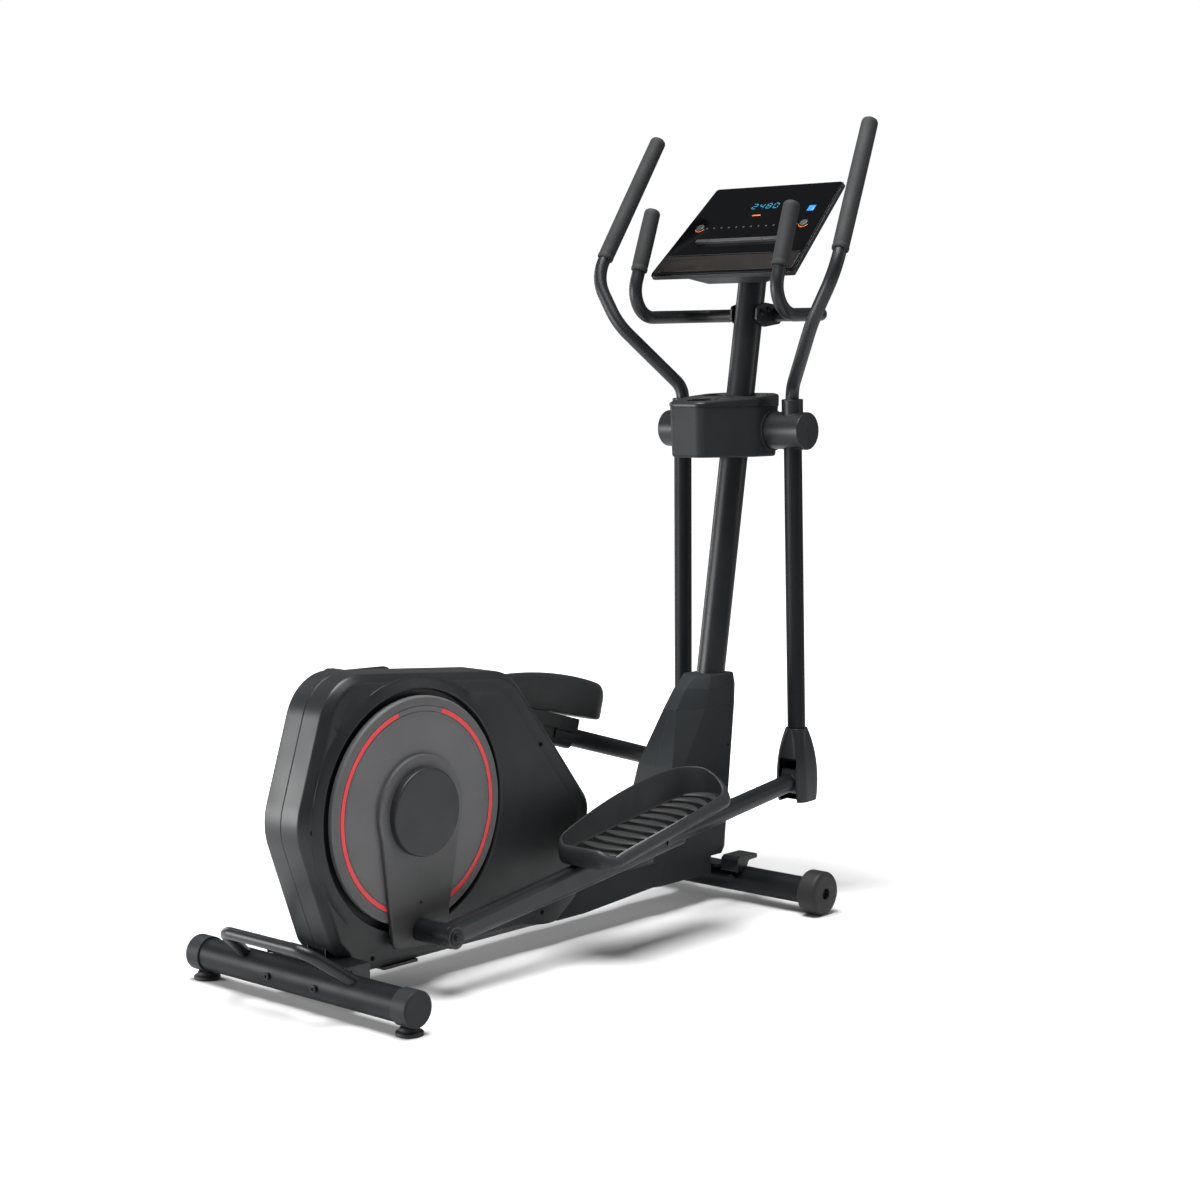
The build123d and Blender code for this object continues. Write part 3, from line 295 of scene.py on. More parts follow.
def camera():
    data = bpy.data.cameras.new("camera")
    data.lens, data.sensor_width = 67.08, 36.0
    data.shift_x = 0.0097
    cam = bpy.data.objects.new("camera", data)
    bpy.context.scene.collection.objects.link(cam)
    cam.location = (-3.2107, -2.9336, 1.1209)
    heading, pitch = radians(41.4), radians(-5.9)
    look = Vector((cos(heading) * cos(pitch), sin(heading) * cos(pitch), sin(pitch)))
    cam.rotation_mode = "QUATERNION"
    cam.rotation_quaternion = look.to_track_quat("-Z", "Y")
    bpy.context.scene.camera = cam


# Mesh building


def piece(name, verts, faces, material, body, angle=38, slot=None, stands_for=()):
    """A named mesh that rides on a body, with its normals facing out."""
    mesh = bpy.data.meshes.new(name)
    mesh.from_pydata([tuple(v) for v in verts], [], faces)
    work = bmesh.new()
    work.from_mesh(mesh)
    bmesh.ops.recalc_face_normals(work, faces=work.faces)
    work.to_mesh(mesh)
    work.free()
    obj = bpy.data.objects.new(name, mesh)
    bpy.context.scene.collection.objects.link(obj)
    dress(obj, material, angle)
    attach(obj, body)
    if stands_for:
        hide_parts(*stands_for)
    return obj


def loft(rings, wrap=False):
    """Quads between rings of equal count. The ends are capped, or joined to each other by wrap."""
    count, total = len(rings[0]), len(rings)
    verts = [point for ring in rings for point in ring]
    faces = []
    for i in range(total if wrap else total - 1):
        a, b = i * count, (i + 1) % total * count
        faces += [(a + k, a + (k + 1) % count, b + (k + 1) % count, b + k) for k in range(count)]
    if not wrap:
        faces.append(tuple(range(count)))
        faces.append(tuple(range((total - 1) * count, total * count)))
    return verts, faces


def join(*parts):
    """Several (verts, faces) as one."""
    verts, faces = [], []
    for part_verts, part_faces in parts:
        start = len(verts)
        verts += list(part_verts)
        faces += [tuple(start + i for i in face) for face in part_faces]
    return verts, faces


def moved(part, matrix):
    verts, faces = part
    return [matrix @ Vector(v) for v in verts], faces


def lathe(profile, centre, axis, count=96, start=0.0, sweep=2 * pi, wrap=False):
    """Turns a profile of (distance along axis, radius) about axis."""
    axis = Vector(axis).normalized()
    side = axis.orthogonal().normalized() if abs(axis.y) < 0.9 else Vector((0, 0, 1))
    other = axis.cross(side)
    full = sweep > 2 * pi - 1e-6
    stations = []
    for k in range(count if full else count + 1):
        turn = start + sweep * k / count
        out = side * cos(turn) + other * sin(turn)
        stations.append([Vector(centre) + axis * along + out * r for along, r in profile])
    if full:
        rings = [[station[i] for station in stations] for i in range(len(profile))]
        return loft(rings, wrap=wrap)
    return loft(stations)


def contour(points, bends, steps=12, straight=1):
    """A closed outline with rounded corners. The same corners always give the same number of points."""
    arcs, count = [], len(points)
    for i, bend in enumerate(bends):
        before, here, after = (Vector(points[(i + k) % count]) for k in (-1, 0, 1))
        a, b = (before - here).normalized(), (after - here).normalized()
        half = a.angle(b) / 2
        middle = here + (a + b).normalized() * (bend / sin(half))
        first, last = here + a * (bend / tan(half)), here + b * (bend / tan(half))
        turn, u, v = pi - 2 * half, first - middle, last - middle
        shares = [k / steps for k in range(steps + 1)]
        arcs.append([middle + (u * sin((1 - f) * turn) + v * sin(f * turn)) / sin(turn) for f in shares])
    result = []
    for arc, following in zip(arcs, arcs[1:] + arcs[:1]):
        result += arc
        result += [arc[-1].lerp(following[0], k / straight) for k in range(1, straight)]
    return result


def bent_line(points, bends, steps=16):
    """Points along a polyline in space with each inner corner rounded."""
    result = [Vector(points[0])]
    for before, here, after, bend in zip(points, points[1:], points[2:], bends):
        here = Vector(here)
        a, b = (Vector(before) - here).normalized(), (Vector(after) - here).normalized()
        half = a.angle(b) / 2
        middle = here + (a + b).normalized() * (bend / sin(half))
        u, v = here + a * (bend / tan(half)) - middle, here + b * (bend / tan(half)) - middle
        turn = pi - 2 * half
        result += [middle + (u * sin((1 - k / steps) * turn) + v * sin(k / steps * turn)) / sin(turn)
                   for k in range(steps + 1)]
    return result + [Vector(points[-1])]


def tube(points, bends, radius, count=40, end_bevel=0.0012):
    """A round bar along a bent line, with its frame carried along so that it doesn't twist."""
    path = bent_line(points, bends)
    side = (path[1] - path[0]).orthogonal().normalized()
    rings = []
    for i, here in enumerate(path):
        ahead = (path[min(i + 1, len(path) - 1)] - path[max(i - 1, 0)]).normalized()
        side = (side - ahead * side.dot(ahead)).normalized()
        other = ahead.cross(side)
        turns = [2 * pi * k / count for k in range(count)]
        places = [(0.0, radius)]
        if i == 0:
            places = [(0.0, radius - end_bevel), (end_bevel, radius)]
        elif i == len(path) - 1:
            places = [(-end_bevel, radius), (0.0, radius - end_bevel)]
        for along, r in places:
            rings.append([here + ahead * along + (side * cos(t) + other * sin(t)) * r for t in turns])
    return loft(rings)


def inset(points, amount):
    """The corners of an outline whose sides have all moved in."""
    count = len(points)
    area = sum(points[i][0] * points[(i + 1) % count][1] - points[(i + 1) % count][0] * points[i][1]
               for i in range(count))
    turn = 1 if area > 0 else -1
    result = []
    for i in range(count):
        before, here, after = (Vector(points[(i + k) % count]) for k in (-1, 0, 1))
        a, b = (here - before).normalized(), (after - here).normalized()
        na, nb = Vector((-a.y, a.x)) * turn, Vector((-b.y, b.x)) * turn
        bisector = na + nb
        result.append(here + bisector * (2 * amount / bisector.length_squared))
    return result


def polar(outline, centre, count):
    """The outline's distance from centre in count even directions."""
    cx, cz = centre
    distances = []
    for k in range(count):
        direction = Vector((cos(2 * pi * k / count), sin(2 * pi * k / count)))
        best = 0.0
        for i, here in enumerate(outline):
            p = here - Vector((cx, cz))
            q = outline[(i + 1) % len(outline)] - Vector((cx, cz))
            d = q - p
            cross = direction.x * d.y - direction.y * d.x
            if abs(cross) < 1e-12:
                continue
            t = (p.x * d.y - p.y * d.x) / cross
            s = (p.x * direction.y - p.y * direction.x) / cross
            if t > 0 and -1e-9 <= s <= 1 + 1e-9:
                best = max(best, t)
        distances.append(best)
    return distances


def smooth(value, low, high):
    t = max(0.0, min(1.0, (value - low) / (high - low)))
    return t * t * (3 - 2 * t)


def mirrored(part):
    verts, faces = part
    return [Vector((v[0], -v[1], v[2])) for v in verts], faces


# Housing


REAR_AXIS_X = -0.6446
SHELL_CORNERS = [(82, 47), (26, 104), (-55, 325), (30, 591), (484, 553), (712, 270), (668, 95), (600, 47)]
SHELL_BENDS = [12, 40, 120, 95, 105, 45, 55, 15]
RIM_OUTER, RIM_INNER, RIM_Y = 0.2430, 0.2210, 0.0650
FLAT_Y, SKIN, BAFFLE_Y = 0.060, 0.0015, 0.0505
# The rounded bevel from the shell's rim to its side: distance from the middle plane, and the inset there.
SHELL_EDGE = [(0.0010, 0.0), (0.0018, 0.0), (0.0410, 0.0), (0.0430, 0.0002), (0.0448, 0.0012),
              (0.0470, 0.0032), (0.0545, 0.0107), (0.0563, 0.0127), (0.0574, 0.0146), (0.0580, 0.0168),
              (0.0582, 0.0195)]


def shell_distance(amount, count):
    corners = [(x / 1000 + REAR_AXIS_X, z / 1000) for x, z in SHELL_CORNERS]
    bends = [max(0.004, bend / 1000 - amount) for bend in SHELL_BENDS]
    return polar(contour(inset(corners, amount), bends), (CRANK.x, CRANK.z), count)


def bevel_share(point):
    """The bevel fades out at the foot of the front end, where the shell laps the rail cover."""
    return 1 - 0.9 * smooth(point.x - REAR_AXIS_X, 0.50, 0.58) * smooth(-point.z, -0.24, -0.14)


def shell_half():
    """The right shell, in rings round the crank: back, softened bevel, side, raised rim and well."""
    count = 400
    skin = shell_distance(SKIN, count)

    def ring(y, radius):
        turns = [2 * pi * k / count for k in range(count)]
        return [Vector((CRANK.x + r * cos(t), -y, CRANK.z + r * sin(t))) for t, r in zip(turns, radius)]

    flush = shell_distance(0.0, count)
    shares = [bevel_share(point) for point in ring(0.0, flush)]
    rings = [ring(0.0002, shell_distance(0.0006, count))]
    for y, amount in SHELL_EDGE:
        sunk = shell_distance(amount, count)
        rings.append(ring(y, [far + (near - far) * share for far, near, share in zip(flush, sunk, shares)]))
    band = shell_distance(0.036, count)
    rings.append(ring(FLAT_Y - 0.0018, [max(RIM_OUTER + 0.0012, r) for r in band]))
    rings.append(ring(FLAT_Y - 0.0012, [max(RIM_OUTER + 0.0008, r - 0.003) for r in band]))
    rings.append(ring(FLAT_Y - 0.0002, [max(RIM_OUTER, r - 0.012) for r in band]))
    for y, r in ((RIM_Y - 0.0030, 0.2330), (RIM_Y - 0.0006, 0.2262), (RIM_Y, 0.2240),
                 (RIM_Y - 0.0004, 0.2224), (RIM_Y - 0.0020, 0.2212), (RIM_Y - 0.0060, RIM_INNER),
                 (BAFFLE_Y, RIM_INNER - 0.001), (BAFFLE_Y, 0.036), (BAFFLE_Y - SKIN, 0.036),
                 (BAFFLE_Y - SKIN, RIM_INNER + SKIN), (FLAT_Y - 0.005, RIM_INNER + SKIN)):
        rings.append(ring(y, [r] * count))
    rings.append(ring(FLAT_Y - 0.022, skin))
    rings.append(ring(0.0002, skin))
    return loft(rings, wrap=True)


# Each screw recess: x from the rear tube, z, and its distance from the middle plane, in mm.
SCREWS = [(-27, 322, 58.7), (556, 404, 60.1), (560, 74, 58.9), (112, 72, 58.9)]


def screw_wells():
    """A recess with its screw at each fixing point, for both sides, coloured near black as painted shade."""
    parts = []
    for x, z, surface in SCREWS:
        place = (x / 1000 + REAR_AXIS_X, -surface / 1000, z / 1000)
        profile = [(0.004, 0.0006), (0.004, 0.0044), (-0.0003, 0.0044), (-0.0005, 0.0040), (0.0004, 0.0034),
                   (0.0006, 0.0006)]
        parts.append(lathe(profile, place, (0, 1, 0), count=24))
    right = join(*parts)
    return join(right, mirrored(right))


def housing():
    right = shell_half()
    for side, part in (("right", right), ("left", mirrored(right))):
        piece(f"{side}_housing_cover", *part, PLASTIC, "frame", angle=50, slot="housing_plastic",
              stands_for=[f"{side}_housing_shell"])
    piece("housing_screw_heads", *screw_wells(), RECESS_SHADE, "frame", slot="bolt_steel",
          stands_for=["housing_screws"])


# Disc bands, crank bolts


DISC_Y = 0.073
BAND_GAP = radians(17)


def disc_bands():
    """The red band, open at the end away from the crank arm, a darker border and a light line inside it."""
    for side, sign in (("right", -1), ("left", 1)):
        open_at = CRANK_TURN if side == "right" else CRANK_TURN + pi
        for name, inner, outer, material, gap in (
            ("red_band", 0.1820, 0.1905, RED, BAND_GAP),
            ("inner_line", 0.1752, 0.1763, LIGHT_LINE, 0.0),
            ("border", 0.1945, 0.2060, DISC_EDGE, 0.0),
        ):
            part = band(inner, outer, open_at, gap, sign)
            piece(f"{side}_disc_{name}", *part, material, "crank", slot="disc_plastic")


def band(inner, outer, open_at, gap, sign):
    """A thin flat ring on the disc's face, with an opening of 2 gap centred on open_at from straight up."""
    centre, count = Vector((CRANK.x, sign * DISC_Y, CRANK.z)), 160
    profile = [(0.0004, inner), (0.0004, outer), (-0.0015, outer), (-0.0015, inner)]
    stations = []
    for k in range(count if gap == 0.0 else count + 1):
        turn = open_at + gap + (2 * pi - 2 * gap) * k / count
        out = Vector((-sin(turn), 0, cos(turn)))
        stations.append([centre + Vector((0, sign * along, 0)) + out * r for along, r in profile])
    return loft(stations, wrap=gap == 0.0)


# Pedals


JOINTS = {side: JOINT[f"{side}_pedal_pivot"] for side in SIDES}


def crank_pin(side):
    sign = 1 if side == "right" else -1
    return Vector((CRANK.x + sign * CRANK_R * sin(CRANK_TURN), 0, CRANK.z - sign * CRANK_R * cos(CRANK_TURN)))


def pedal_matrix(side):
    """From a level right-hand pedal arm, measured from its front joint, to its place in the row frame."""
    joint, pin = JOINTS[side], crank_pin(side)
    pitch = atan2(joint.z - pin.z, joint.x - pin.x)
    flip = Matrix.Diagonal((1, 1 if side == "right" else -1, 1, 1))
    return Matrix.Translation((joint.x, 0, joint.z)) @ Matrix.Rotation(-pitch, 4, "Y") @ flip


def swing_matrix(side):
    joint = JOINTS[side]
    lean = atan2(joint.x - PIVOT.x, PIVOT.z - joint.z)
    flip = Matrix.Diagonal((1, 1 if side == "right" else -1, 1, 1))
    return Matrix.Translation((PIVOT.x, 0, PIVOT.z)) @ Matrix.Rotation(-lean, 4, "Y") @ flip


TRAY_REAR, TRAY_FRONT, TRAY_IN, TRAY_OUT = -0.735, -0.308, -0.104, -0.257
TRAY_LIFT, TRAY_TILT = 0.048, radians(2.5)
TRAY_CORNERS = [(TRAY_REAR, TRAY_IN), (TRAY_FRONT, TRAY_IN - 0.012), (TRAY_FRONT, TRAY_OUT + 0.022),
                (TRAY_REAR, TRAY_OUT)]
TRAY_BENDS = [0.036, 0.062, 0.052, 0.036]
TRAY_FLOOR, RIB_COUNT = 0.014, 11
MAT_REAR, MAT_FRONT, MAT_TOP = TRAY_REAR + 0.018, TRAY_FRONT - 0.024, 0.0160


def tray_matrix(side):
    tip = Matrix.Translation((TRAY_FRONT, 0, TRAY_LIFT)) @ Matrix.Rotation(-TRAY_TILT, 4, "Y")
    return pedal_matrix(side) @ tip @ Matrix.Translation((-TRAY_FRONT, 0, 0))


def corner(distance, radius):
    """How far a rounded corner has drawn in at a distance from the end."""
    short = max(0.0, radius - distance)
    return radius - sqrt(max(0.0, radius * radius - short * short))


def tray_shares(point):
    """How far along the tray a point is, from the heel, and how far across it, from the outer side."""
    return (point.x - TRAY_REAR) / (TRAY_FRONT - TRAY_REAR), (point.y - TRAY_OUT) / (TRAY_IN - TRAY_OUT)


def rim_height(point):
    """The wall arches along the inner side and falls away across the front to the low outer side."""
    along, across = tray_shares(point)
    arch = 0.038 + 0.1228 * along - 0.0908 * along * along
    lean = 0.0190 + 0.080 * max(0.0, across) + 0.004 * smooth(along, 0.1, 0.0)
    blend = 0.004
    return -blend * log(exp(-arch / blend) + exp(-lean / blend))


def rim_width(point):
    """Thin along the tall inner wall, broad round the front, and a flange at the heel."""
    along, across = tray_shares(point)
    front, heel = smooth(along, 0.74, 0.99), smooth(along, 0.10, 0.0)
    outer = smooth(across, 0.45, 0.10)
    return 0.0055 + 0.0115 * front + 0.0040 * outer * (1 - front) + 0.0060 * heel


def tray_part():
    deep = 0.028
    edge = contour(TRAY_CORNERS, TRAY_BENDS, steps=20, straight=28)
    inner = contour(inset(TRAY_CORNERS, deep), [bend - deep for bend in TRAY_BENDS], steps=20, straight=28)
    heights, widths = [rim_height(p) for p in edge], [rim_width(p) for p in edge]

    def ring(amount, level):
        """Both are functions of the rim's height and width at each point."""
        points = []
        for p, q, high, wide in zip(edge, inner, heights, widths):
            place = p.lerp(q, amount(high, wide) / deep)
            points.append(Vector((place.x, place.y, level(high, wide))))
        return points

    def roll(high, wide):
        return min(1.9 * wide, high - 0.0075)

    rings = [ring(lambda h, w: 0.027, lambda h, w: 0.0), ring(lambda h, w: 0.008, lambda h, w: 0.0),
             ring(lambda h, w: 0.003, lambda h, w: 0.0015), ring(lambda h, w: 0.0008, lambda h, w: 0.006)]
    steps = 7
    for k in range(steps + 1):
        turn = pi / 2 * k / steps
        rings.append(ring(lambda h, w: (w - 0.0014) * (1 - cos(turn)),
                          lambda h, w: h - roll(h, w) * (1 - sin(turn))))
    for aside, drop in ((-0.0004, 0.0005), (0.0003, 0.0022)):
        rings.append(ring(lambda h, w: w + aside, lambda h, w: h - drop))
    for aside, rise in ((0.0012, 0.0050), (0.0030, 0.0018), (0.0060, 0.0)):
        rings.append(ring(lambda h, w: w + aside, lambda h, w: TRAY_FLOOR + rise))
    rings.append(ring(lambda h, w: 0.027, lambda h, w: TRAY_FLOOR))
    return loft(rings)


def mat_sides(x):
    """The mat's inner and outer edges at a distance along the tray, with its corners rounded."""
    along = (x - TRAY_REAR) / (TRAY_FRONT - TRAY_REAR)
    ends = MAT_FRONT - x, x - MAT_REAR
    inner = TRAY_IN - 0.012 * along - 0.012 - corner(ends[0], 0.040) - corner(ends[1], 0.014)
    outer = TRAY_OUT + 0.022 * along + 0.0155 + corner(ends[0], 0.032) + corner(ends[1], 0.014)
    return inner, outer


def mat_part():
    """The mat under the ribs, coloured near black as painted shade in the gaps."""
    stations = [MAT_REAR + (MAT_FRONT - MAT_REAR) * (0.5 - 0.5 * cos(pi * k / 60)) for k in range(61)]
    sides = [mat_sides(x) for x in stations]
    outline = [(x, inner) for x, (inner, outer) in zip(stations, sides)]
    outline += [(x, outer) for x, (inner, outer) in reversed(list(zip(stations, sides)))]
    return loft([[Vector((x, y, level)) for x, y in outline] for level in (TRAY_FLOOR + 0.0002, MAT_TOP)])


def rib_part(number):
    """One rounded crescent rib: bowed forward at the toes and back at the heel, and thinner at its ends."""
    pitch = (MAT_FRONT - MAT_REAR - 0.012) / RIB_COUNT
    middle = MAT_REAR + 0.006 + pitch * (number + 0.5)
    along = (middle - TRAY_REAR) / (TRAY_FRONT - TRAY_REAR)
    bow = 0.036 * along - 0.012
    rings = []
    for k in range(41):
        v = -1 + 2 * k / 40
        x = middle + bow * (0.55 - v * v)
        inner, outer = mat_sides(min(MAT_FRONT - 0.004, max(MAT_REAR + 0.004, x)))
        y = (inner + outer) / 2 + v * ((inner - outer) / 2 - 0.0025)
        ease = sqrt(max(0.0, 1 - v ** 8))
        half, high = 0.0118 * (1 - 0.45 * v * v) * (0.25 + 0.75 * ease), 0.0052 * (0.2 + 0.8 * ease)
        section = [(half * cos(pi * t / 10), MAT_TOP + high * sin(pi * t / 10) ** 0.7) for t in range(11)]
        section += [(-half * 0.9, MAT_TOP - 0.001), (half * 0.9, MAT_TOP - 0.001)]
        rings.append([Vector((x + dx, y, z)) for dx, z in section])
    return loft(rings)


def lip_part():
    """The mat's raised outer lip, rounded over; its pale colour is a painted highlight."""
    rings = []
    for k in range(41):
        x = MAT_REAR + 0.012 + (MAT_FRONT - MAT_REAR - 0.030) * k / 40
        outer = mat_sides(x)[1]
        ease = sqrt(max(0.0, 1 - (2 * k / 40 - 1) ** 10))
        section = [(0.0022 * cos(pi * t / 8), 0.0060 * ease * sin(pi * t / 8)) for t in range(9)]
        section += [(-0.0018, -0.0012), (0.0018, -0.0012)]
        rings.append([Vector((x, outer - 0.0005 + dy, MAT_TOP + 0.0005 + dz)) for dy, dz in section])
    return loft(rings)


def pin_bolt(side):
    """The socket-head bolt and washer in the end of the crank pin's sleeve."""
    centre = (-1.068, -0.1735, 0)
    washer = lathe([(-0.001, 0.004), (-0.001, 0.0150), (0.0016, 0.0150), (0.0021, 0.0144), (0.0021, 0.006)],
                   centre, (0, -1, 0), count=64)
    head = lathe([(0.001, 0.003), (0.001, 0.0072), (0.0052, 0.0072), (0.0062, 0.0062), (0.0062, 0.0038)],
                 centre, (0, -1, 0), count=48)
    return moved(join(washer, head), pedal_matrix(side))


def pedals():
    tray, mat = tray_part(), mat_part()
    ribs = join(*[rib_part(number) for number in range(RIB_COUNT)])
    lip = lip_part()
    for side in SIDES:
        matrix = tray_matrix(side)
        piece(f"{side}_pedal_moulding", *moved(tray, matrix), PEDAL, f"{side}_pedal", angle=45,
              slot="pedal_plastic", stands_for=[f"{side}_pedal_tray"])
        piece(f"{side}_pedal_mat", *moved(mat, matrix), GROOVE_SHADE, f"{side}_pedal", slot="tread_rubber",
              stands_for=[f"{side}_pedal_pad"])
        piece(f"{side}_pedal_ribs", *moved(ribs, matrix), TREAD, f"{side}_pedal", angle=60,
              slot="tread_rubber", stands_for=[f"{side}_pedal_pad"])
        piece(f"{side}_pedal_lip", *moved(lip, matrix), PAINTED_HIGHLIGHT_LIP, f"{side}_pedal", angle=60, slot="tread_rubber",
              stands_for=[f"{side}_pedal_pad"])
        piece(f"{side}_pin_bolt", *pin_bolt(side), BOLT, f"{side}_pedal", slot="bolt_steel")


# Grips


def grip_part(low, high, radius, bore, rings_between=40):
    """A foam sleeve: a rolled lip at the bottom, a slight swell and a domed end with a small vent."""
    axis = Vector(high) - Vector(low)
    length = axis.length
    profile = [(-0.001, bore), (-0.0022, radius - 0.003), (-0.001, radius - 0.0005), (0.003, radius),
               (0.0065, radius - 0.0003), (0.0085, radius - 0.0011)]
    for k in range(rings_between + 1):
        f = k / rings_between
        along = 0.012 + (length - 0.024) * f
        profile.append((along, radius - 0.0006 + 0.00035 * sin(pi * f)))
    profile += [(length - 0.0075, radius - 0.0008), (length - 0.0035, radius - 0.0028),
                (length - 0.0008, radius - 0.0065), (length, radius - 0.0110), (length, 0.0035),
                (length - 0.0012, 0.0022)]
    return lathe(profile, low, axis, count=72)


HANDLE_LOW, HANDLE_TOP = Vector((-0.086, -0.321, 0.328)), Vector((0.088, -0.2884, 0.628))
FIXED_LOW = Vector((1.104 + REAR_AXIS_X, -0.189, 1.229))
FIXED_TOP = Vector((1.1795 + REAR_AXIS_X, -0.185, 1.454))
GRIP_R, BAR_R = 0.018, 0.014


def grips():
    for side in SIDES:
        axis = (HANDLE_TOP - HANDLE_LOW).normalized()
        part = grip_part(HANDLE_TOP - axis * 0.299, HANDLE_TOP + axis * 0.008, GRIP_R, BAR_R)
        made = piece(f"{side}_foam_grip", *moved(part, swing_matrix(side)), FOAM, f"{side}_swing",
                     slot="foam", stands_for=[f"{side}_handle_grip"])
    axis = (FIXED_TOP - FIXED_LOW).normalized()
    right = grip_part(FIXED_TOP - axis * 0.130, FIXED_TOP + axis * 0.008, GRIP_R, BAR_R, rings_between=18)
    for side, part in (("right", right), ("left", mirrored(right))):
        made = piece(f"{side}_fixed_foam_grip", *part, FOAM, "frame", slot="foam", stands_for=["fixed_grips"])


# Bars


HANDLE_PATH = [(0, -0.148, 0.027), (0, -0.148, 0.088), (-0.084, -0.262, 0.228), HANDLE_LOW, HANDLE_TOP]
LIFT_PATH = [(0.002, -0.150, 0.062), (-0.092, -0.108, 0.133), (-0.092, 0.108, 0.133), (0.002, 0.150, 0.062)]


def bars():
    handle = tube(HANDLE_PATH, [0.050, 0.150, 0.100], BAR_R)
    for side in SIDES:
        piece(f"{side}_handle_tube", *moved(handle, swing_matrix(side)), BAR_PAINT, f"{side}_swing", angle=40,
              slot="frame_paint", stands_for=[f"{side}_handlebar"])
    half = [(1.3275 + REAR_AXIS_X, -0.189, 1.236), tuple(FIXED_LOW), tuple(FIXED_TOP)]
    line = list(reversed(half)) + [(x, -y, z) for x, y, z in half]
    piece("fixed_bar_tube", *tube(line, [0.058, 0.072, 0.072, 0.058], BAR_R), BAR_PAINT, "frame", angle=40,
          slot="frame_paint", stands_for=["fixed_handlebar"])
    lift = [(x + REAR_AXIS_X, y, z) for x, y, z in LIFT_PATH]
    piece("lift_bar_tube", *tube(lift, [0.036, 0.036], 0.011), BAR_PAINT, "frame", angle=40,
          slot="frame_paint", stands_for=["lift_handle"])


# Feet


def feet():
    """Rubber feet: a flared base, a waist and a collar round the stud."""
    for side, sign in (("right", -1), ("left", 1)):
        centre = (REAR_AXIS_X, sign * 0.268, 0)
        profile = [(0.0, 0.004), (0.0, 0.0225), (0.0012, 0.0243), (0.0050, 0.0246), (0.0068, 0.0236),
                   (0.0085, 0.0195),
                   (0.0105, 0.0180), (0.0135, 0.0172), (0.0150, 0.0158), (0.0158, 0.0130), (0.0158, 0.0055),
                   (0.030, 0.0050), (0.036, 0.0045), (0.036, 0.0010)]
        piece(f"{side}_foot_moulding", *lathe(profile, centre, (0, 0, 1), count=72), RUBBER, f"{side}_foot",
              slot="wheel_rubber", stands_for=[f"{side}_levelling_foot"])


# Console


CONSOLE_FOOT = Vector((1.177 + REAR_AXIS_X, 0, 1.321))
CONSOLE_SLOPE = radians(43.2)
FACE_LOW_HALF = 0.1895
BUTTON_Y, BUTTON_U = 0.138, 0.152


def on_console(points, rise=0.0):
    """Points (y, u) on the console's face to the row frame: y to the user's left, u up the face."""
    up = Vector((cos(CONSOLE_SLOPE), 0, sin(CONSOLE_SLOPE)))
    out = Vector((-sin(CONSOLE_SLOPE), 0, cos(CONSOLE_SLOPE)))
    return [CONSOLE_FOOT + up * u + Vector((0, y, 0)) + out * rise for y, u in points]


def decal(points, rise=0.00025, sink=0.0006):
    """A thin raised mark on the console's face, with a small bevel."""
    centre = sum((Vector(p) for p in points), Vector((0, 0))) / len(points)
    inner = [centre + (Vector(p) - centre) * 0.97 for p in points]
    return loft([on_console(points, -sink), on_console(points, rise * 0.6), on_console(inner, rise)])


def rectangle(y, u, wide, tall):
    a, b = wide / 2, tall / 2
    return [(y - a, u - b), (y + a, u - b), (y + a, u + b), (y - a, u + b)]


def arc_marks(y, u, inner, outer, start, end, count=24):
    turns = [radians(start + (end - start) * k / count) for k in range(count + 1)]
    out = [(y + outer * cos(t), u + outer * sin(t)) for t in turns]
    return out + [(y + inner * cos(t), u + inner * sin(t)) for t in reversed(turns)]


SEGMENTS = {"0": "abcdef", "1": "bc", "2": "abged", "3": "abgcd", "4": "fgbc", "5": "afgcd", "6": "afgedc",
            "7": "abc", "8": "abcdefg", "9": "abcdfg"}


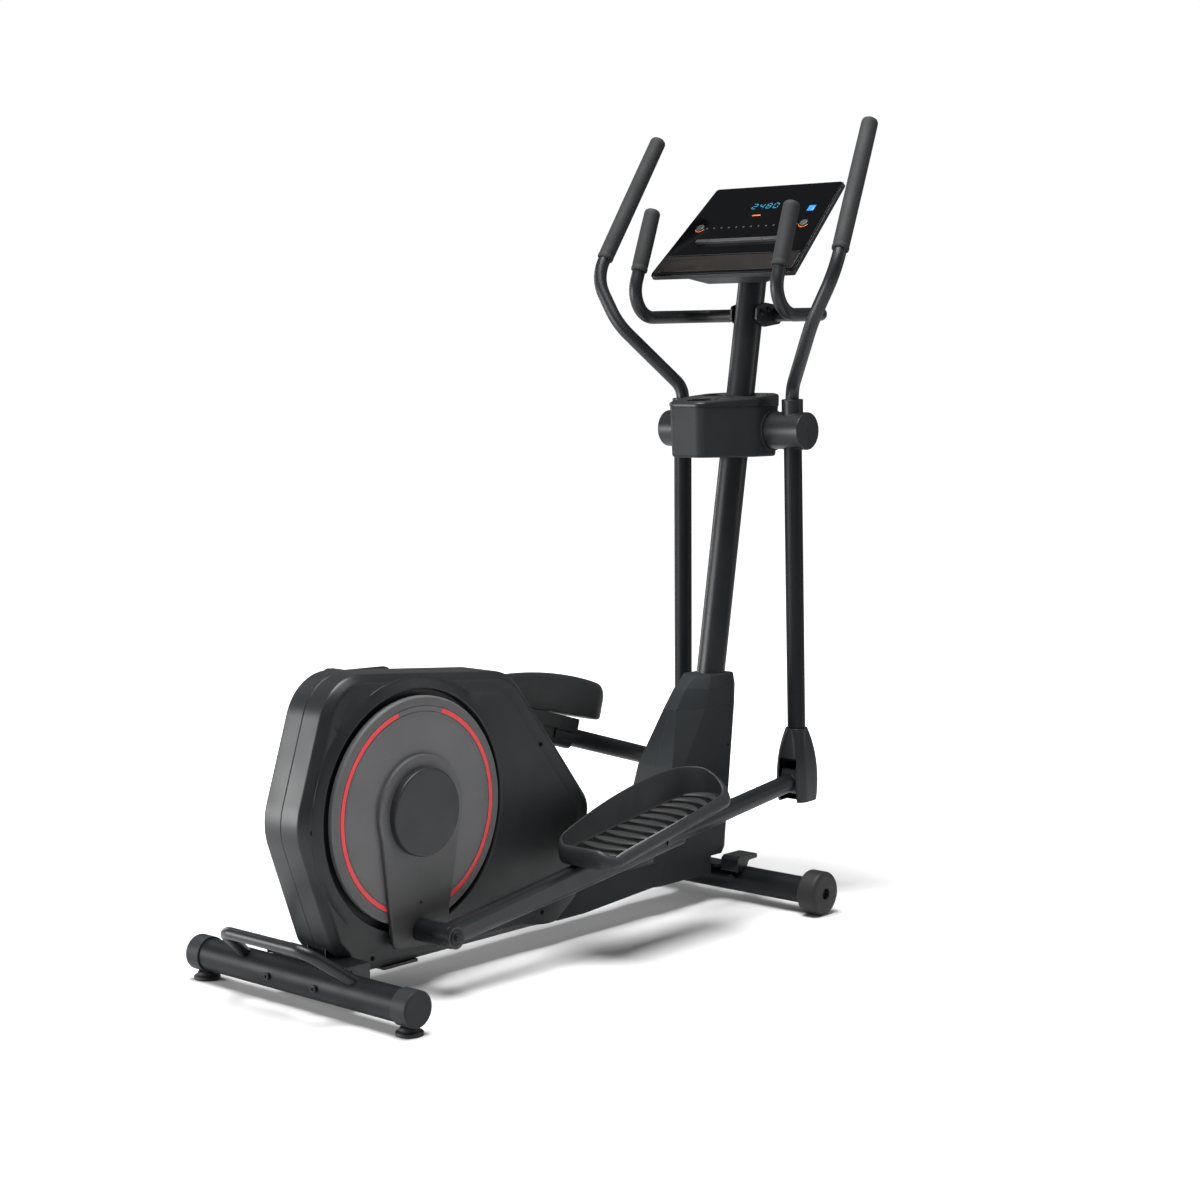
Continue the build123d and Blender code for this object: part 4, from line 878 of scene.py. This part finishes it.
def digit(text, y, u, wide, tall, thick, slant=0.12):
    """The lit segments of one numeral, seen from the rider's side, whose right is -Y."""
    half = tall / 2
    bars = {
        "a": (0, half, 1), "g": (0, 0, 1), "d": (0, -half, 1), "f": (-wide / 2, half / 2, 0),
        "b": (wide / 2, half / 2, 0), "e": (-wide / 2, -half / 2, 0), "c": (wide / 2, -half / 2, 0),
    }
    parts = []
    for letter in SEGMENTS[text]:
        right, up, level = bars[letter]
        reach = ((wide if level else half) - 1.4 * thick) / 2
        long, short = (reach, thick / 2) if level else (thick / 2, reach)
        corners = [(right - long, up - short), (right + long, up - short),
                   (right + long, up + short), (right - long, up + short)]
        parts.append(decal([(y - (a + slant * b), u + b) for a, b in corners]))
    return parts


def console_marks():
    cyan = []
    for k, text in enumerate("2480"):
        cyan += digit(text, 0.026 - 0.0190 * k, 0.216, 0.0108, 0.0150, 0.0018)
    piece("display_digits", *join(*cyan), CYAN, "frame", slot="display_glass")
    dots = [decal(arc_marks(0.120 - 0.020 * k, 0.150, 0.0, 0.0026, 0, 345, 10)[:11]) for k in range(13)]
    lines = [decal(rectangle(0, 0.062, 2 * FACE_LOW_HALF - 0.020, 0.0008))]
    piece("console_grey_marks", *join(*dots, *lines), GREY_MARK, "frame")
    orange = [decal(rectangle(0.006, 0.186, 0.022, 0.0035))]
    for sign in (-1, 1):
        orange.append(decal(arc_marks(sign * BUTTON_Y, BUTTON_U, 0.0115, 0.0130, 200, 340)))
    piece("console_orange_marks", *join(*orange), ORANGE, "frame")
    piece("console_blue_mark", *decal(rectangle(-0.131, 0.201, 0.017, 0.017)), BLUE, "frame")
    low = [(-FACE_LOW_HALF + 0.006, 0.010), (FACE_LOW_HALF - 0.006, 0.010),
           (FACE_LOW_HALF - 0.0095, 0.058), (-FACE_LOW_HALF + 0.0095, 0.058)]
    piece("console_lower_panel", *decal(low, rise=0.0008), PANEL, "frame", slot="console_gloss")


housing()
disc_bands()
pedals()
grips()
bars()
feet()
console_marks()
stage()
camera()
bpy.context.scene.view_settings.view_transform = "Standard"
